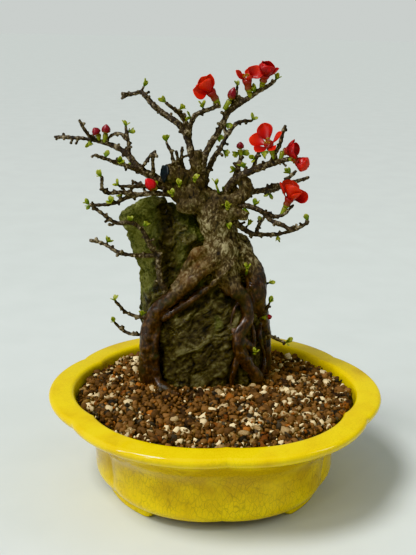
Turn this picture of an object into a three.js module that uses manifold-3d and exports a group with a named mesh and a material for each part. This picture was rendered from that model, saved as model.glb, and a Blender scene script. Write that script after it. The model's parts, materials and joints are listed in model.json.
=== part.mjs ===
// Root-over-rock flowering quince in a six-lobed glazed pot.
// Millimetres, +Z up. The origin is the middle of the pot's footprint, on the surface that it stands on,
// and -Y is the front.
import * as THREE from 'three';
import { mergeVertices } from 'three/addons/utils/BufferGeometryUtils.js';
import Module from 'manifold-3d';

const wasm = await Module();
wasm.setup();

// Driving dimensions.
const POT_WIDTH = 190;
const POT_DEPTH_RATIO = 0.92;
const POT_HEIGHT = 58;
const POT_LOBES = 6;
const SEGMENTS_PER_LOBE = 6;
const NOTCH_IN_RIM = 0.042;
const NOTCH_IN_BODY = 0.035;
const FOOT_HEIGHT = 4.5;
const FOOT = { outer: 62, inner: 53, from: 13, to: 52, sunk: 1 };
const DRAIN_HOLE = { x: 34, radius: 6.5 };
const SCREEN = { side: 20, bar: 2, thickness: 1.2, holes: 2 };
const SOIL_EDGE_HEIGHT = 54;
const SOIL_CROWN = 4.2;
const SOIL_LOWEST_RING = 30;
const SOIL_RINGS = [0, 21, 33, 44, 55, 65, 75.5];
const SOIL_SHIFT = 2.4;
const SOIL_BUMP = 1.3;
const GRAIN_COUNT = 7;
const GRAIN_SIZE = { least: 2, most: 3 };
const GRAIN_SPREAD = 76;
const GOLDEN_ANGLE = Math.PI * (3 - Math.sqrt(5));
const CLEARANCE = 0.35;
const SEAT_GAP = 0.45;
const LEAF = { length: 5.2, width: 3.4, thickness: 0.7, arch: 0.8, spurFrom: 5.4 };
const PETAL_THICKNESS = 0.7;
const SEED = 1706;

const COLOURS = {
  glaze: 0xe2cf12, screen: 0x2b2f2c, soil: 0x7a5236, rock: 0x4c4a38, bark: 0x5b4532,
  twig: 0x4a3a2c, shoot: 0x6f7f2a, petal: 0xd4200f, bud: 0x9c1220, seal: 0x1c2530,
};

// Repeatable random numbers and smooth noise.
function randomFrom(seed) {
  let state = seed >>> 0;
  return () => {
    state = (state + 0x6d2b79f5) >>> 0;
    let mixed = Math.imul(state ^ (state >>> 15), state | 1);
    mixed ^= mixed + Math.imul(mixed ^ (mixed >>> 7), mixed | 61);
    return ((mixed ^ (mixed >>> 14)) >>> 0) / 4294967296;
  };
}

function latticeValue(i, j, k) {
  let mixed = Math.imul(i, 73856093) ^ Math.imul(j, 19349663) ^ Math.imul(k, 83492791) ^ SEED;
  mixed = Math.imul(mixed ^ (mixed >>> 13), 1274126177);
  return ((mixed ^ (mixed >>> 16)) >>> 0) / 4294967296;
}

// Smooth noise from -1 to 1, with features of the given size.
function noise(x, y, z, size) {
  const cell = [x / size, y / size, z / size];
  const base = cell.map(Math.floor);
  const part = cell.map((value, axis) => {
    const within = value - base[axis];
    return within * within * (3 - 2 * within);
  });
  let sum = 0;
  for (let corner = 0; corner < 8; corner += 1) {
    const step = [corner & 1, (corner >> 1) & 1, corner >> 2];
    const weight = step.reduce((w, on, axis) => w * (on ? part[axis] : 1 - part[axis]), 1);
    sum += weight * latticeValue(base[0] + step[0], base[1] + step[1], base[2] + step[2]);
  }
  return 2 * sum - 1;
}

function clamp01(value) {
  return Math.min(1, Math.max(0, value));
}

function smoothStep(low, high, value) {
  const part = clamp01((value - low) / (high - low));
  return part * part * (3 - 2 * part);
}

// Solids: a closed geometry becomes a body that can be joined and cut, and comes back as a geometry.
function solidOf(geometry) {
  const plain = new THREE.BufferGeometry();
  plain.setAttribute('position', geometry.getAttribute('position').clone());
  if (geometry.index) {
    plain.setIndex(geometry.index.clone());
  }
  const welded = mergeVertices(plain, 1e-3);
  const vertices = Float32Array.from(welded.getAttribute('position').array);
  const corners = [];
  let volume = 0;
  for (let i = 0; i < welded.index.count; i += 3) {
    const [a, b, c] = [0, 1, 2].map((k) => welded.index.getX(i + k));
    if (a !== b && b !== c && c !== a) {
      corners.push(a, b, c);
      const [p, q, r] = [a, b, c].map((v) => new THREE.Vector3().fromArray(vertices, 3 * v));
      volume += p.dot(q.cross(r));
    }
  }
  if (volume < 0) {
    for (let i = 0; i < corners.length; i += 3) {
      [corners[i], corners[i + 1]] = [corners[i + 1], corners[i]];
    }
  }
  const mesh = new wasm.Mesh({ numProp: 3, vertProperties: vertices, triVerts: Uint32Array.from(corners) });
  return new wasm.Manifold(mesh);
}

function joined(solids) {
  return solids.reduce((whole, next) => whole.add(next));
}

// The largest body of a cut solid, without the scraps that the cut left loose.
function mainBody(solid) {
  const bodies = solid.decompose();
  return bodies.reduce((best, next) => (next.volume() > best.volume() ? next : best));
}

function geometryOf(solid) {
  const mesh = solid.getMesh();
  const geometry = new THREE.BufferGeometry();
  geometry.setAttribute('position', new THREE.BufferAttribute(Float32Array.from(mesh.vertProperties), 3));
  geometry.setIndex(new THREE.BufferAttribute(Uint32Array.from(mesh.triVerts), 1));
  geometry.computeVertexNormals();
  return geometry;
}

function pieceOf(name, solid, colour, roughness) {
  const material = new THREE.MeshStandardMaterial({ color: colour, roughness, metalness: 0 });
  const mesh = new THREE.Mesh(geometryOf(solid), material);
  mesh.name = name;
  return mesh;
}

function moveVertices(geometry, rule) {
  const position = geometry.getAttribute('position');
  const point = new THREE.Vector3();
  for (let i = 0; i < position.count; i += 1) {
    point.fromBufferAttribute(position, i);
    rule(point);
    position.setXYZ(i, point.x, point.y, point.z);
  }
  return geometry;
}

function vector(point) {
  return new THREE.Vector3(...point);
}

// Value along a list of evenly spaced values, part from 0 to 1.
function along(values, part) {
  const place = clamp01(part) * (values.length - 1);
  const index = Math.min(Math.floor(place), values.length - 2);
  return THREE.MathUtils.lerp(values[index], values[index + 1], place - index);
}

// A round limb along a smooth path, with a radius that changes along it.
function limb(path, radii, sides, steps, grow = 0) {
  const curve = new THREE.CatmullRomCurve3(path.map(vector), false, 'centripetal');
  const frames = curve.computeFrenetFrames(steps, false);
  const tube = new THREE.CylinderGeometry(1, 1, 1, sides, steps);
  return solidOf(moveVertices(tube, (point) => {
    const step = Math.round((point.y + 0.5) * steps);
    const radius = along(radii, step / steps) + grow;
    const centre = curve.getPointAt(step / steps);
    if (step === 0 || step === steps) {
      centre.addScaledVector(frames.tangents[step], step === 0 ? -grow : grow);
    }
    const across = frames.normals[step].clone().multiplyScalar(point.x * radius);
    point.copy(centre.add(across).addScaledVector(frames.binormals[step], point.z * radius));
  }));
}

// Axes of a piece that points along a direction.
function basisAlong(direction, hint) {
  const forward = direction.clone().normalize();
  const side = new THREE.Vector3().crossVectors(forward, hint);
  if (side.lengthSq() < 1e-4) {
    side.crossVectors(forward, new THREE.Vector3(1, 0.3, 0));
  }
  side.normalize();
  const face = new THREE.Vector3().crossVectors(side, forward);
  return { side, forward, face };
}

// Pot. Each profile point is a radius at the middle of a lobe and a height.
const POT_OUTSIDE = [
  [60, FOOT_HEIGHT], [65.5, 6.5], [68.9, 11], [69.4, 20], [71.2, 31.5], [75, 38], [80.5, 44],
  [88, 50], [92.8, 52.2], [94.7, 54.6], [POT_WIDTH / 2, 56.8], [93.8, POT_HEIGHT],
];
const POT_INSIDE = [[82.4, 58.4], [81, 57.4], [79.6, 51], [75, 44], [66.2, 32], [64, 22], [59.5, 9.5]];

// How far a lobed outline stands from the axis, 1 in the middle of a lobe and less at the notches.
function lobeFactor(angle, height) {
  const pitch = (2 * Math.PI) / POT_LOBES;
  const part = (((angle + Math.PI / 2) % pitch) + pitch) % pitch;
  const pinch = THREE.MathUtils.lerp(NOTCH_IN_BODY, NOTCH_IN_RIM, smoothStep(44, 54, height));
  return 1 - pinch * (1 - Math.sin((Math.PI * part) / pitch) ** 0.7);
}

function toLobedPlan(point) {
  const radius = Math.hypot(point.x, point.y);
  const angle = Math.atan2(point.y, point.x);
  const factor = radius * lobeFactor(angle, point.z);
  point.x = factor * Math.cos(angle);
  point.y = factor * Math.sin(angle) * POT_DEPTH_RATIO;
}

function lobedTurning(profile) {
  const points = profile.map(([radius, height]) => new THREE.Vector2(radius, height));
  const turned = new THREE.LatheGeometry(points, POT_LOBES * SEGMENTS_PER_LOBE);
  turned.rotateX(Math.PI / 2);
  return moveVertices(turned, toLobedPlan);
}

// Feet: four parts of a foot ring, one at each corner of the pot.
function footSolid(right, back) {
  const [start, end] = [FOOT.from, FOOT.to].map(THREE.MathUtils.degToRad);
  const outline = new THREE.Shape();
  outline.absarc(0, 0, FOOT.outer, start, end, false);
  outline.absarc(0, 0, FOOT.inner, end, start, true);
  const options = { depth: FOOT_HEIGHT + FOOT.sunk, bevelEnabled: false, curveSegments: 3 };
  const foot = new THREE.ExtrudeGeometry(outline, options);
  return solidOf(foot.scale(right, back * POT_DEPTH_RATIO, 1));
}

function potSolid() {
  const floor = POT_INSIDE.at(-1)[1];
  const body = solidOf(lobedTurning([[0, FOOT_HEIGHT], ...POT_OUTSIDE, ...POT_INSIDE, [0, floor]]));
  const drains = [-1, 1].map((right) => solidOf(
    new THREE.CylinderGeometry(DRAIN_HOLE.radius, DRAIN_HOLE.radius, 12, 14)
      .rotateX(Math.PI / 2)
      .translate(right * DRAIN_HOLE.x, 0, (FOOT_HEIGHT + floor) / 2),
  ));
  const feet = [[-1, -1], [1, -1], [1, 1], [-1, 1]].map(([right, back]) => footSolid(right, back));
  return joined([body, ...feet]).subtract(joined(drains));
}

// Drain screens: square plastic meshes that lie on the pot's floor over the holes.
function screenSolid(right) {
  const { side, bar, thickness, holes } = SCREEN;
  const pitch = (side - bar) / holes;
  const first = (bar + pitch - side) / 2;
  const openings = [];
  for (let column = 0; column < holes; column += 1) {
    for (let row = 0; row < holes; row += 1) {
      const opening = new THREE.BoxGeometry(pitch - bar, pitch - bar, 3 * thickness);
      openings.push(solidOf(opening.translate(first + column * pitch, first + row * pitch, 0)));
    }
  }
  const sheet = solidOf(new THREE.BoxGeometry(side, side, thickness)).subtract(joined(openings));
  return sheet.translate([right * DRAIN_HOLE.x, 0, POT_INSIDE.at(-1)[1] + CLEARANCE + thickness / 2]);
}

// Rock: its left, right, front and back at each height.
const ROCK_LEVELS = [
  [42, -36, 27, 5, 41], [56, -41, 31, -1, 46], [72, -42, 31, -2, 47], [88, -41, 29, -2, 47],
  [100, -39, 26, 0, 46], [112, -43, 24, 1, 46], [124, -44, 22, 2, 45], [133, -47, 15, 3, 44],
  [141, -50, 3, 4, 42], [148, -52, -6, 6, 40], [154, -52, -13, 8, 38], [159, -49, -21, 11, 34],
  [162, -45, -26, 14, 30], [164, -41, -30, 18, 26],
];
const ROCK_SQUARENESS = 2.7;
const ROCK_LUMPS = [{ height: 2.8, size: 19 }, { height: 1.6, size: 9 }];
const ROCK_SMOOTH_TOP = { from: 159, to: 164 };
const ROCK_SIDES = 24;
const ROCK_STEPS = 15;
const ROCK_BOTTOM = ROCK_LEVELS[0][0];
const ROCK_TOP = ROCK_LEVELS.at(-1)[0];
const CLEFT = { x: -28, width: 4.5, depth: 5, from: 112, to: 130, behind: 20 };

function rockLevel(height) {
  const z = Math.min(ROCK_TOP, Math.max(ROCK_BOTTOM, height));
  const above = Math.max(1, ROCK_LEVELS.findIndex((level) => level[0] >= z));
  const [low, high] = [ROCK_LEVELS[above - 1], ROCK_LEVELS[above]];
  const part = (z - low[0]) / (high[0] - low[0]);
  const [left, right, front, back] = [1, 2, 3, 4].map((k) => THREE.MathUtils.lerp(low[k], high[k], part));
  return {
    x: (left + right) / 2,
    y: (front + back) / 2,
    halfWidth: (right - left) / 2,
    halfDepth: (back - front) / 2,
  };
}

// Depth of the rock's front (side -1) or back (side 1) at a place.
function rockFace(x, z, side) {
  const level = rockLevel(z);
  const across = Math.min(0.995, Math.abs((x - level.x) / level.halfWidth));
  const round = (1 - across ** ROCK_SQUARENESS) ** (1 / ROCK_SQUARENESS);
  return level.y + side * level.halfDepth * round;
}

// How far the broken face stands out of its plain outline: lumps, chips and the cleft in front.
function rockRelief(x, y, z) {
  const lumps = ROCK_LUMPS.reduce((sum, { height, size }) => sum + height * noise(x, y, z, size), 0);
  const inCleft = Math.exp(-(((x - CLEFT.x) / CLEFT.width) ** 2)) * smoothStep(CLEFT.from, CLEFT.to, z);
  return lumps - (y < CLEFT.behind ? CLEFT.depth * inCleft : 0);
}

function rockSolid(grow) {
  const column = new THREE.CylinderGeometry(1, 1, 1, ROCK_SIDES, ROCK_STEPS);
  return solidOf(moveVertices(column, (point) => {
    const rise = point.y + 0.5;
    const height = ROCK_BOTTOM + (ROCK_TOP - ROCK_BOTTOM) * rise ** 0.85;
    const level = rockLevel(height);
    const radius = Math.hypot(point.x, point.z);
    const angle = Math.atan2(-point.z, point.x);
    const [c, s] = [Math.cos(angle), Math.sin(angle)];
    const spread = Math.abs(c) ** ROCK_SQUARENESS + Math.abs(s) ** ROCK_SQUARENESS;
    const round = spread ** (-1 / ROCK_SQUARENESS);
    const [x, y] = [level.x + level.halfWidth * round * c, level.y + level.halfDepth * round * s];
    const rough = 1 - smoothStep(ROCK_SMOOTH_TOP.from, ROCK_SMOOTH_TOP.to, height);
    const relief = rough * rockRelief(x, y, height) + grow;
    const sink = rise === 0 ? -grow : 0;
    const lift = rise === 1 ? grow : 0;
    point.set(
      level.x + radius * (level.halfWidth * round + relief) * c,
      level.y + radius * (level.halfDepth * round + relief) * s,
      height + sink + lift,
    );
  }));
}

// Tree base: limbs of the trunk and crown with their radii, and roots that follow the rock's face.
const TRUNK_LIMBS = [
  { path: [[7, 3, 113], [5, 5, 120], [3, 6, 127], [2.5, 8, 136], [0.5, 10, 144], [-1.5, 11, 152],
      [-5, 13, 162]],
    radii: [2, 6.5, 9.6, 10, 9.2, 9.6, 8.5], sides: 8, steps: 6 },
  { path: [[9, 13, 164], [-3, 13, 163], [-14, 14, 167.5], [-24, 14, 170], [-31, 14, 175]],
    radii: [4.6, 7, 7.6, 6, 3.2], sides: 6, steps: 4 },
  { path: [[-7, 12, 166], [-16, 10, 162], [-23, 10, 163]], radii: [6, 5.6, 3.4], sides: 5, steps: 2 },
  { path: [[-8, 15, 171], [-15, 15, 176], [-23, 12, 179], [-29, 9.5, 180]],
    radii: [5, 5, 4.6, 4.6], sides: 6, steps: 2 },
  { path: [[1, 13, 160], [9, 10, 165], [14, 9, 170.5], [13, 10, 175.5], [7, 13, 176.5]],
    radii: [6, 4.6, 3.4, 2.6, 2], sides: 5, steps: 3 },
  { path: [[4, 10, 158], [11, 7, 158], [16, 5, 157]], radii: [5, 3.6, 3], sides: 5, steps: 1 },
  { path: [[-11, 14, 172], [-12.5, 13, 181], [-15, 12, 188]], radii: [5, 3.6, 2.9], sides: 5, steps: 2 },
  { path: [[-13, 12, 186], [-11.5, 10, 192], [-11.5, 9, 195]], radii: [2.2, 2.3, 1.6], sides: 5, steps: 2 },
];
const SIDE = { front: -1, back: 1 };
// Roots: x and height along the rock's face, radii, and how much of the radius stands out of the face.
const ROOTS = [
  { face: SIDE.front, radii: [6, 5, 4.4, 4, 4, 4.4, 4.6, 4.4, 3.4], start: [3, 7, 140],
    line: [[-4, 132], [-10, 128], [-15.5, 122.5], [-21, 117], [-28.5, 110], [-34.5, 101.5], [-38, 91],
      [-39, 79], [-39, 66], [-36, 50]] },
  { face: SIDE.front, radii: [3, 4, 2, 1.7, 3], start: [-4, 5, 138],
    line: [[-12, 137], [-16.5, 131.5], [-20.5, 125], [-25, 117]] },
  { face: SIDE.front, radii: [2.4, 1.8, 1.8, 1.9, 2, 2], start: [9, 2, 135],
    over: [[3.5, -3.4, 128], [-2, -2.6, 121.5]],
    line: [[-7, 116.5], [-14, 111], [-24, 104], [-31, 99]] },
  { face: SIDE.front, radii: [5.6, 4, 3.7, 3.4, 3.3, 3], start: [7, 6, 130],
    line: [[9, 118], [16, 109], [18, 99], [13, 92], [12, 84], [17, 73], [24, 62], [27, 48]] },
  { face: SIDE.front, radii: [2.6, 2.4, 1.9], start: [12, 0, 90], line: [[15, 86], [20, 81]] },
  { face: SIDE.front, radii: [1.7, 1.5, 1.2], start: [12, -1, 79], line: [[10, 68], [8, 52]] },
  { face: SIDE.front, radii: [7.5, 6.8, 6.2, 4.8, 3.4, 2.4, 2], start: [8, 11, 137],
    line: [[16, 130], [21, 120], [23, 106], [28, 92], [31, 76], [31, 50]] },
  { face: SIDE.front, radii: [2.8, 2.2, 1.8], start: [-37, 10, 66], line: [[-33, 60], [-28, 52]] },
  { face: SIDE.back, radii: [6, 5, 4.6, 4, 3.6, 3.4, 2.8], start: [3, 14, 148],
    over: [[7, 25, 144], [9, 36, 139]],
    line: [[9, 124], [6, 108], [0, 90], [6, 70], [5, 48]] },
  { face: SIDE.back, radii: [4.6, 4, 3.2, 2.8, 2.4, 2], start: [8, 16, 142], over: [[17, 26, 135]],
    line: [[20, 120], [20, 102], [24, 84], [22, 64], [25, 48]] },
  { face: SIDE.back, radii: [4.6, 4, 3.4, 2.8, 2.4, 2, 1.8], start: [-6, 17, 160],
    over: [[-8, 28, 156], [-10, 39, 149]], line: [[-15, 130], [-22, 108], [-24, 90], [-31, 72], [-29, 50]] },
];
const ROOT_PROUD = 0.45;

function rootPath(root) {
  const line = root.line.map(([x, z], index) => {
    const radius = along(root.radii, (index + 1) / root.line.length);
    return [x, rockFace(x, z, root.face) + root.face * ROOT_PROUD * radius, z];
  });
  return [root.start, ...(root.over ?? []), ...line];
}

function treeSolid(grow) {
  const limbs = TRUNK_LIMBS.map(({ path, radii, sides, steps }) => limb(path, radii, sides, steps, grow));
  const roots = ROOTS.map((root) => {
    const path = rootPath(root);
    return limb(path, root.radii, root.radii[0] > 3 ? 6 : 4, path.length - 1, grow);
  });
  return joined([...limbs, ...roots]);
}

// Seal of dark paste on the old pruning cut, at the end of the upper stub.
function sealSolid() {
  const end = vector([-29, 9.5, 180]);
  const outward = vector([-6, -2.5, 1]).normalize();
  const disc = new THREE.CylinderGeometry(3.4, 4.7, 1.5, 10, 1);
  const turn = new THREE.Quaternion().setFromUnitVectors(new THREE.Vector3(0, 1, 0), outward);
  disc.applyQuaternion(turn);
  disc.translate(...end.addScaledVector(outward, 0.75 + 0.6).toArray());
  return solidOf(disc);
}

// Soil bed: a mound whose top is covered in raised grains.
function soilHeight(x, y) {
  const spread = Math.hypot(x, y / POT_DEPTH_RATIO) / 80;
  return SOIL_EDGE_HEIGHT + SOIL_CROWN * clamp01(1 - spread ** 2);
}

function soilSolid() {
  const wall = POT_INSIDE.filter(([, height]) => height < SOIL_EDGE_HEIGHT && height > SOIL_LOWEST_RING)
    .map(([radius, height]) => [radius - CLEARANCE - 0.1, height]);
  const floor = POT_INSIDE.at(-1);
  const top = SOIL_RINGS.map((radius) => [radius, SOIL_EDGE_HEIGHT + 1]);
  const edge = [POT_INSIDE[2][0] - 0.1, SOIL_EDGE_HEIGHT];
  const base = [floor[0] - CLEARANCE, floor[1] + CLEARANCE];
  const bed = lobedTurning([...top, edge, ...wall, base, [0, base[1]]]);
  moveVertices(bed, (point) => {
    if (point.z > SOIL_EDGE_HEIGHT) {
      const [i, j] = [Math.round(point.x), Math.round(point.y)];
      const [shiftX, shiftY, bump] = [2, 1, 0].map((k) => 2 * latticeValue(i, j, k) - 1);
      const loose = SOIL_SHIFT * smoothStep(20, 55, Math.hypot(point.x, point.y));
      point.x += loose * shiftX;
      point.y += loose * shiftY;
      point.z = soilHeight(point.x, point.y) + SOIL_BUMP * bump;
    }
  });
  const random = randomFrom(SEED);
  const grains = [];
  for (let i = 0; i < GRAIN_COUNT; i += 1) {
    const angle = i * GOLDEN_ANGLE + random();
    const out = GRAIN_SPREAD * Math.sqrt((i + 0.5) / GRAIN_COUNT);
    const [x, y] = [out * Math.cos(angle), out * Math.sin(angle) * POT_DEPTH_RATIO];
    const size = THREE.MathUtils.lerp(GRAIN_SIZE.least, GRAIN_SIZE.most, random());
    const grain = new THREE.OctahedronGeometry(size).rotateX(random() * 3).rotateZ(random() * 3);
    grains.push(solidOf(grain.translate(x, y, soilHeight(x, y) + 0.35 * size)));
  }
  const screenRoom = [-1, 1].map((right) => solidOf(
    new THREE.BoxGeometry(SCREEN.side + 1, SCREEN.side + 1, 2 * (SCREEN.thickness + 2 * CLEARANCE))
      .translate(right * DRAIN_HOLE.x, 0, floor[1]),
  ));
  return joined([solidOf(bed), ...grains]).subtract(joined(screenRoom));
}

// Pair of young leaves: one thin strip, folded where the two blades meet, each wider towards its tip.
const LEAF_WIDTHS = [0.42, 1, 0.26, 1, 0.42];
const FOLD_DEPTH = 1.3;
const SPUR_RADII = [0.8, 0.65];
const TUFT_START = 0.55;

function leafPair(root, directions, face, length, grow) {
  const strip = new THREE.BoxGeometry(2, 1, 1, LEAF_WIDTHS.length - 1, 1, 1);
  const blades = directions.map((direction) => basisAlong(direction, face));
  const bisector = directions[0].clone().add(directions[1]).normalize();
  const across = new THREE.Vector3().crossVectors(bisector, face).cross(bisector).normalize();
  return solidOf(moveVertices(strip, (point) => {
    const { x, y, z } = point;
    const width = along(LEAF_WIDTHS, (x + 1) / 2) * LEAF.width + 2 * grow;
    const depth = z * (LEAF.thickness + 2 * grow);
    const reach = Math.abs(x) * (length + grow);
    const blade = blades[x < 0 ? 0 : 1];
    point.copy(root).addScaledVector(across, y * width);
    if (reach < 1e-6) {
      point.addScaledVector(bisector, -FOLD_DEPTH * depth);
      return;
    }
    const normal = new THREE.Vector3().crossVectors(blade.forward, across).multiplyScalar(x < 0 ? 1 : -1);
    point.addScaledVector(blade.forward, reach).addScaledVector(normal, depth + LEAF.arch * x * x);
  }));
}

// Tuft of young leaves, on a short spur where it stands away from its stem.
function tuftSolids(foot, tip, seed, grow) {
  const random = randomFrom(seed);
  const out = tip.clone().sub(foot);
  const reach = out.length();
  out.normalize();
  const start = tip.clone().addScaledVector(out, -LEAF.length * TUFT_START);
  const turn = Math.PI * (0.15 + 0.7 * random());
  const axes = basisAlong(out, new THREE.Vector3(0, 1, 0));
  const aside = axes.side.clone().multiplyScalar(Math.cos(turn)).addScaledVector(axes.face, Math.sin(turn));
  const directions = [-1, 1].map((way) => (
    out.clone().addScaledVector(aside, way * (0.42 + 0.35 * random())).normalize()
  ));
  const face = new THREE.Vector3().crossVectors(out, aside).normalize();
  const length = LEAF.length * (0.85 + 0.3 * random());
  if (reach < LEAF.spurFrom) {
    return [leafPair(foot, directions, face, length + 0.3 * reach, grow)];
  }
  const spurEnd = start.clone().addScaledVector(out, 0.3).toArray();
  const spur = limb([foot.toArray(), spurEnd], SPUR_RADII, 4, 1, grow);
  return [spur, leafPair(start, directions, face, length, grow)];
}

// Place on a branch's stems nearest to where a tuft is seen, with the tuft's tip beside it.
function nearestOnStems(stems, x, z) {
  let best = { gap: Infinity };
  for (const stem of stems) {
    const curve = new THREE.CatmullRomCurve3(stem.path.map(vector), false, 'centripetal');
    for (let i = 0; i <= 40; i += 1) {
      const point = curve.getPoint(i / 40);
      const gap = Math.hypot(point.x - x, point.z - z);
      if (gap < best.gap) {
        best = { gap, point };
      }
    }
  }
  return best.point;
}

// Where the tip of a tuft stands: in the plane of its stem, leaning a little to the front or back.
function tuftTip(foot, x, z, index) {
  return new THREE.Vector3(x, foot.y + (index % 2 === 0 ? -1 : 1) * 1.2, z);
}

// Calyx cup that holds a bloom or bud: a short stalk that widens towards the flower.
function cupSolid(flower, grow) {
  const [foot, cup] = [vector(flower.foot), vector(flower.cup)];
  return limb([foot.toArray(), cup.toArray()], [0.8, 1.4], 5, 1, grow);
}

function stemSolid({ path, radii }, grow) {
  const length = new THREE.CatmullRomCurve3(path.map(vector)).getLength();
  const sides = Math.max(...radii) > 2.3 ? 5 : 4;
  return limb(path, radii, sides, Math.max(2, Math.round(length / 9)), grow);
}

// Leafy branches: stems as paths with radii, tufts by where their tips are seen from the front.
const BRANCHES = {
  branch_top_left: {
    stems: [
      { path: [[-12, 13, 180], [-15, 13, 190], [-17, 15, 197], [-22, 18, 205], [-34, 23, 213],
        [-41, 26, 221]], radii: [2.6, 2.2, 1.8, 1.7, 1.7, 1.3] },
      { path: [[-40, 25, 219], [-44, 27, 222], [-49, 29, 221], [-53, 30, 219]], radii: [1.2, 1, 0.8] },
      { path: [[-17, 16, 201], [-20, 15, 209], [-25, 12, 214], [-29, 10, 217]], radii: [1.5, 1.2, 0.8] },
      { path: [[-17, 15, 198], [-16, 11, 206], [-14, 10, 211], [-6, 6, 215], [-1, 4, 217]],
        radii: [1.8, 1.4, 1.1, 1] },
    ],
    tufts: [[-40, 227], [-31, 219], [-20, 216], [-17, 210], [-11, 218]],
  },
  branch_top_right: {
    stems: [
      { path: [[-10, 13, 179], [-8, 11, 190], [-4, 10, 198], [0, 9, 205], [4, 7, 214], [13, 5, 220],
        [19, 3, 225], [27, 2, 230]], radii: [2.6, 2, 1.7, 1.6, 1.6, 1.4, 1.2, 0.9] },
      { path: [[13, 5, 219], [9, 5, 221], [6, 6, 220]], radii: [1.1, 0.8] },
      { path: [[4, 7, 213], [7, 7, 219], [8, 8, 226]], radii: [1.2, 0.9, 0.7] },
    ],
    tufts: [[8, 229], [29, 233], [5, 206], [-1, 200], [16, 226]],
  },
  branch_back_right: {
    stems: [
      { path: [[-9, 15, 173], [-3, 19, 187], [1, 21, 192], [5, 24, 199], [9, 26, 204], [14, 28, 206],
        [19, 30, 206]],
        radii: [2, 1.6, 1.4, 1.3, 1.2, 0.8] },
      { path: [[5, 24, 198], [3, 26, 205], [4, 28, 211]], radii: [1.1, 0.8] },
    ],
    tufts: [[20, 208], [5, 189], [4, 213]],
  },
  branch_right_upper: {
    stems: [
      { path: [[4, 12, 165], [6, 11, 174], [12, 8, 179.5], [20, 3, 184], [26, -1, 187], [31, -6, 190],
        [35, -8, 191]],
        radii: [2.3, 2.2, 2.1, 1.9, 1.8, 1.5, 1.2] },
      { path: [[26, -1, 186], [29, -1, 194], [31, -2, 200], [33, -3, 208]], radii: [1.3, 1.1, 0.8] },
      { path: [[17, 5, 182], [20, 9, 189], [22, 10, 193]], radii: [1.2, 0.8] },
    ],
    tufts: [[18, 189], [12, 186], [24, 191]],
    flowers: [
      { foot: [28, -1.5, 190], cup: [26, -2.5, 195] },
      { foot: [30.5, -5.5, 190], cup: [31.6, -6.6, 194.6] },
      { foot: [34.6, -8, 191], cup: [37, -8.6, 191.2] },
    ],
  },
  twig_crown_right: {
    stems: [
      { path: [[8, 14, 166], [9, 14, 176], [11, 14, 184], [12, 15, 188], [11.5, 16, 191]],
        radii: [1.7, 1.5, 1.3, 1.2, 0.9] },
    ],
    tufts: [[7, 182], [14, 190], [9, 190]],
    flowers: [{ foot: [12, 15, 188], cup: [11.5, 16, 192] }],
  },
  branch_right_middle: {
    stems: [
      { path: [[8, 12, 168], [19, 15, 169], [26, 18, 169], [32, 20, 171], [38, 22, 171], [45, 24, 173],
        [53, 28, 175]], radii: [2.2, 1.7, 1.6, 1.5, 1.2, 0.8] },
      { path: [[37, 21, 171], [40, 24, 175], [45, 26, 179]], radii: [1.1, 0.8] },
      { path: [[26, 18, 169], [31, 26, 167], [38, 33, 168]], radii: [1.3, 0.8] },
    ],
    tufts: [[10, 166], [41, 178], [40, 166], [30, 165]],
  },
  branch_right_front: {
    stems: [
      { path: [[6, 10, 162], [14, 7, 163], [20, 4, 162], [24, 2, 160], [28, 0, 156], [34, -2, 154],
        [39, -4, 152], [47, -8, 157]], radii: [2, 1.6, 1.5, 1.3, 1.2, 0.9] },
      { path: [[23, 3, 160.5], [31, 2, 158], [36, 1, 160], [40, 0, 165]], radii: [1.2, 1.1, 0.8] },
    ],
    tufts: [[2, 165], [20, 166], [14, 159], [46, 160]],
    flowers: [{ foot: [33.6, 1.5, 159], cup: [35.6, 0.8, 163.2] }],
  },
  branch_right_low: {
    stems: [
      { path: [[7, 9, 155], [15, 11, 148], [21, 14, 145], [29, 16, 144], [37, 19, 144], [45, 22, 145]],
        radii: [1.9, 1.5, 1.3, 1.1, 0.8] },
      { path: [[22, 14, 145], [25, 24, 148], [29, 31, 152]], radii: [1.1, 0.8] },
    ],
    tufts: [[18, 153], [26, 149], [35, 141]],
  },
  branch_left_long: {
    stems: [
      { path: [[-27, 14, 172], [-35, 15, 176], [-44, 18, 181], [-49, 20, 187], [-53, 21, 190],
        [-66, 24, 195], [-80, 27, 196], [-91, 30, 196]], radii: [2.7, 2.3, 2, 1.7, 1.4, 1.2, 1.1, 0.8] },
      { path: [[-66, 23.5, 195], [-71, 21, 198], [-76, 18, 207]], radii: [1.1, 0.8] },
      { path: [[-49, 20, 186], [-50, 21, 197], [-51, 22, 202]], radii: [1.2, 0.9] },
      { path: [[-41, 17, 179], [-50, 12, 183], [-57, 7, 186], [-67, 0, 191]], radii: [1.6, 1.3, 1, 0.8] },
      { path: [[-36, 15, 177], [-36, 12, 187], [-35, 10, 191]], radii: [1.1, 0.8] },
      { path: [[-44, 18, 181], [-50, 30, 180], [-57, 38, 183]], radii: [1.3, 0.9] },
    ],
    tufts: [[-51, 206], [-47, 201], [-71, 193], [-61, 190], [-54, 186], [-49, 180]],
    flowers: [
      { foot: [-36, 14.8, 176.5], cup: [-36.5, 8.5, 173] },
      { foot: [-66, 24, 195], cup: [-66, 21.5, 198.5] },
      { foot: [-63, 23, 194], cup: [-62, 21.5, 199] },
    ],
  },
  branch_left_middle: {
    stems: [
      { path: [[-26, 12, 170], [-34, 10, 172], [-43, 7, 173], [-54, 2, 174]], radii: [1.5, 1.2, 0.8] },
      { path: [[-42, 7.5, 173], [-48, 9, 176]], radii: [0.9, 0.8] },
    ],
    tufts: [[-56, 176]],
  },
  branch_left_low: {
    stems: [
      { path: [[-24, 11, 168], [-38, 8, 169], [-44, 5, 169], [-53, 1, 171], [-62, -3, 172], [-63, -6, 180]],
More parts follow.
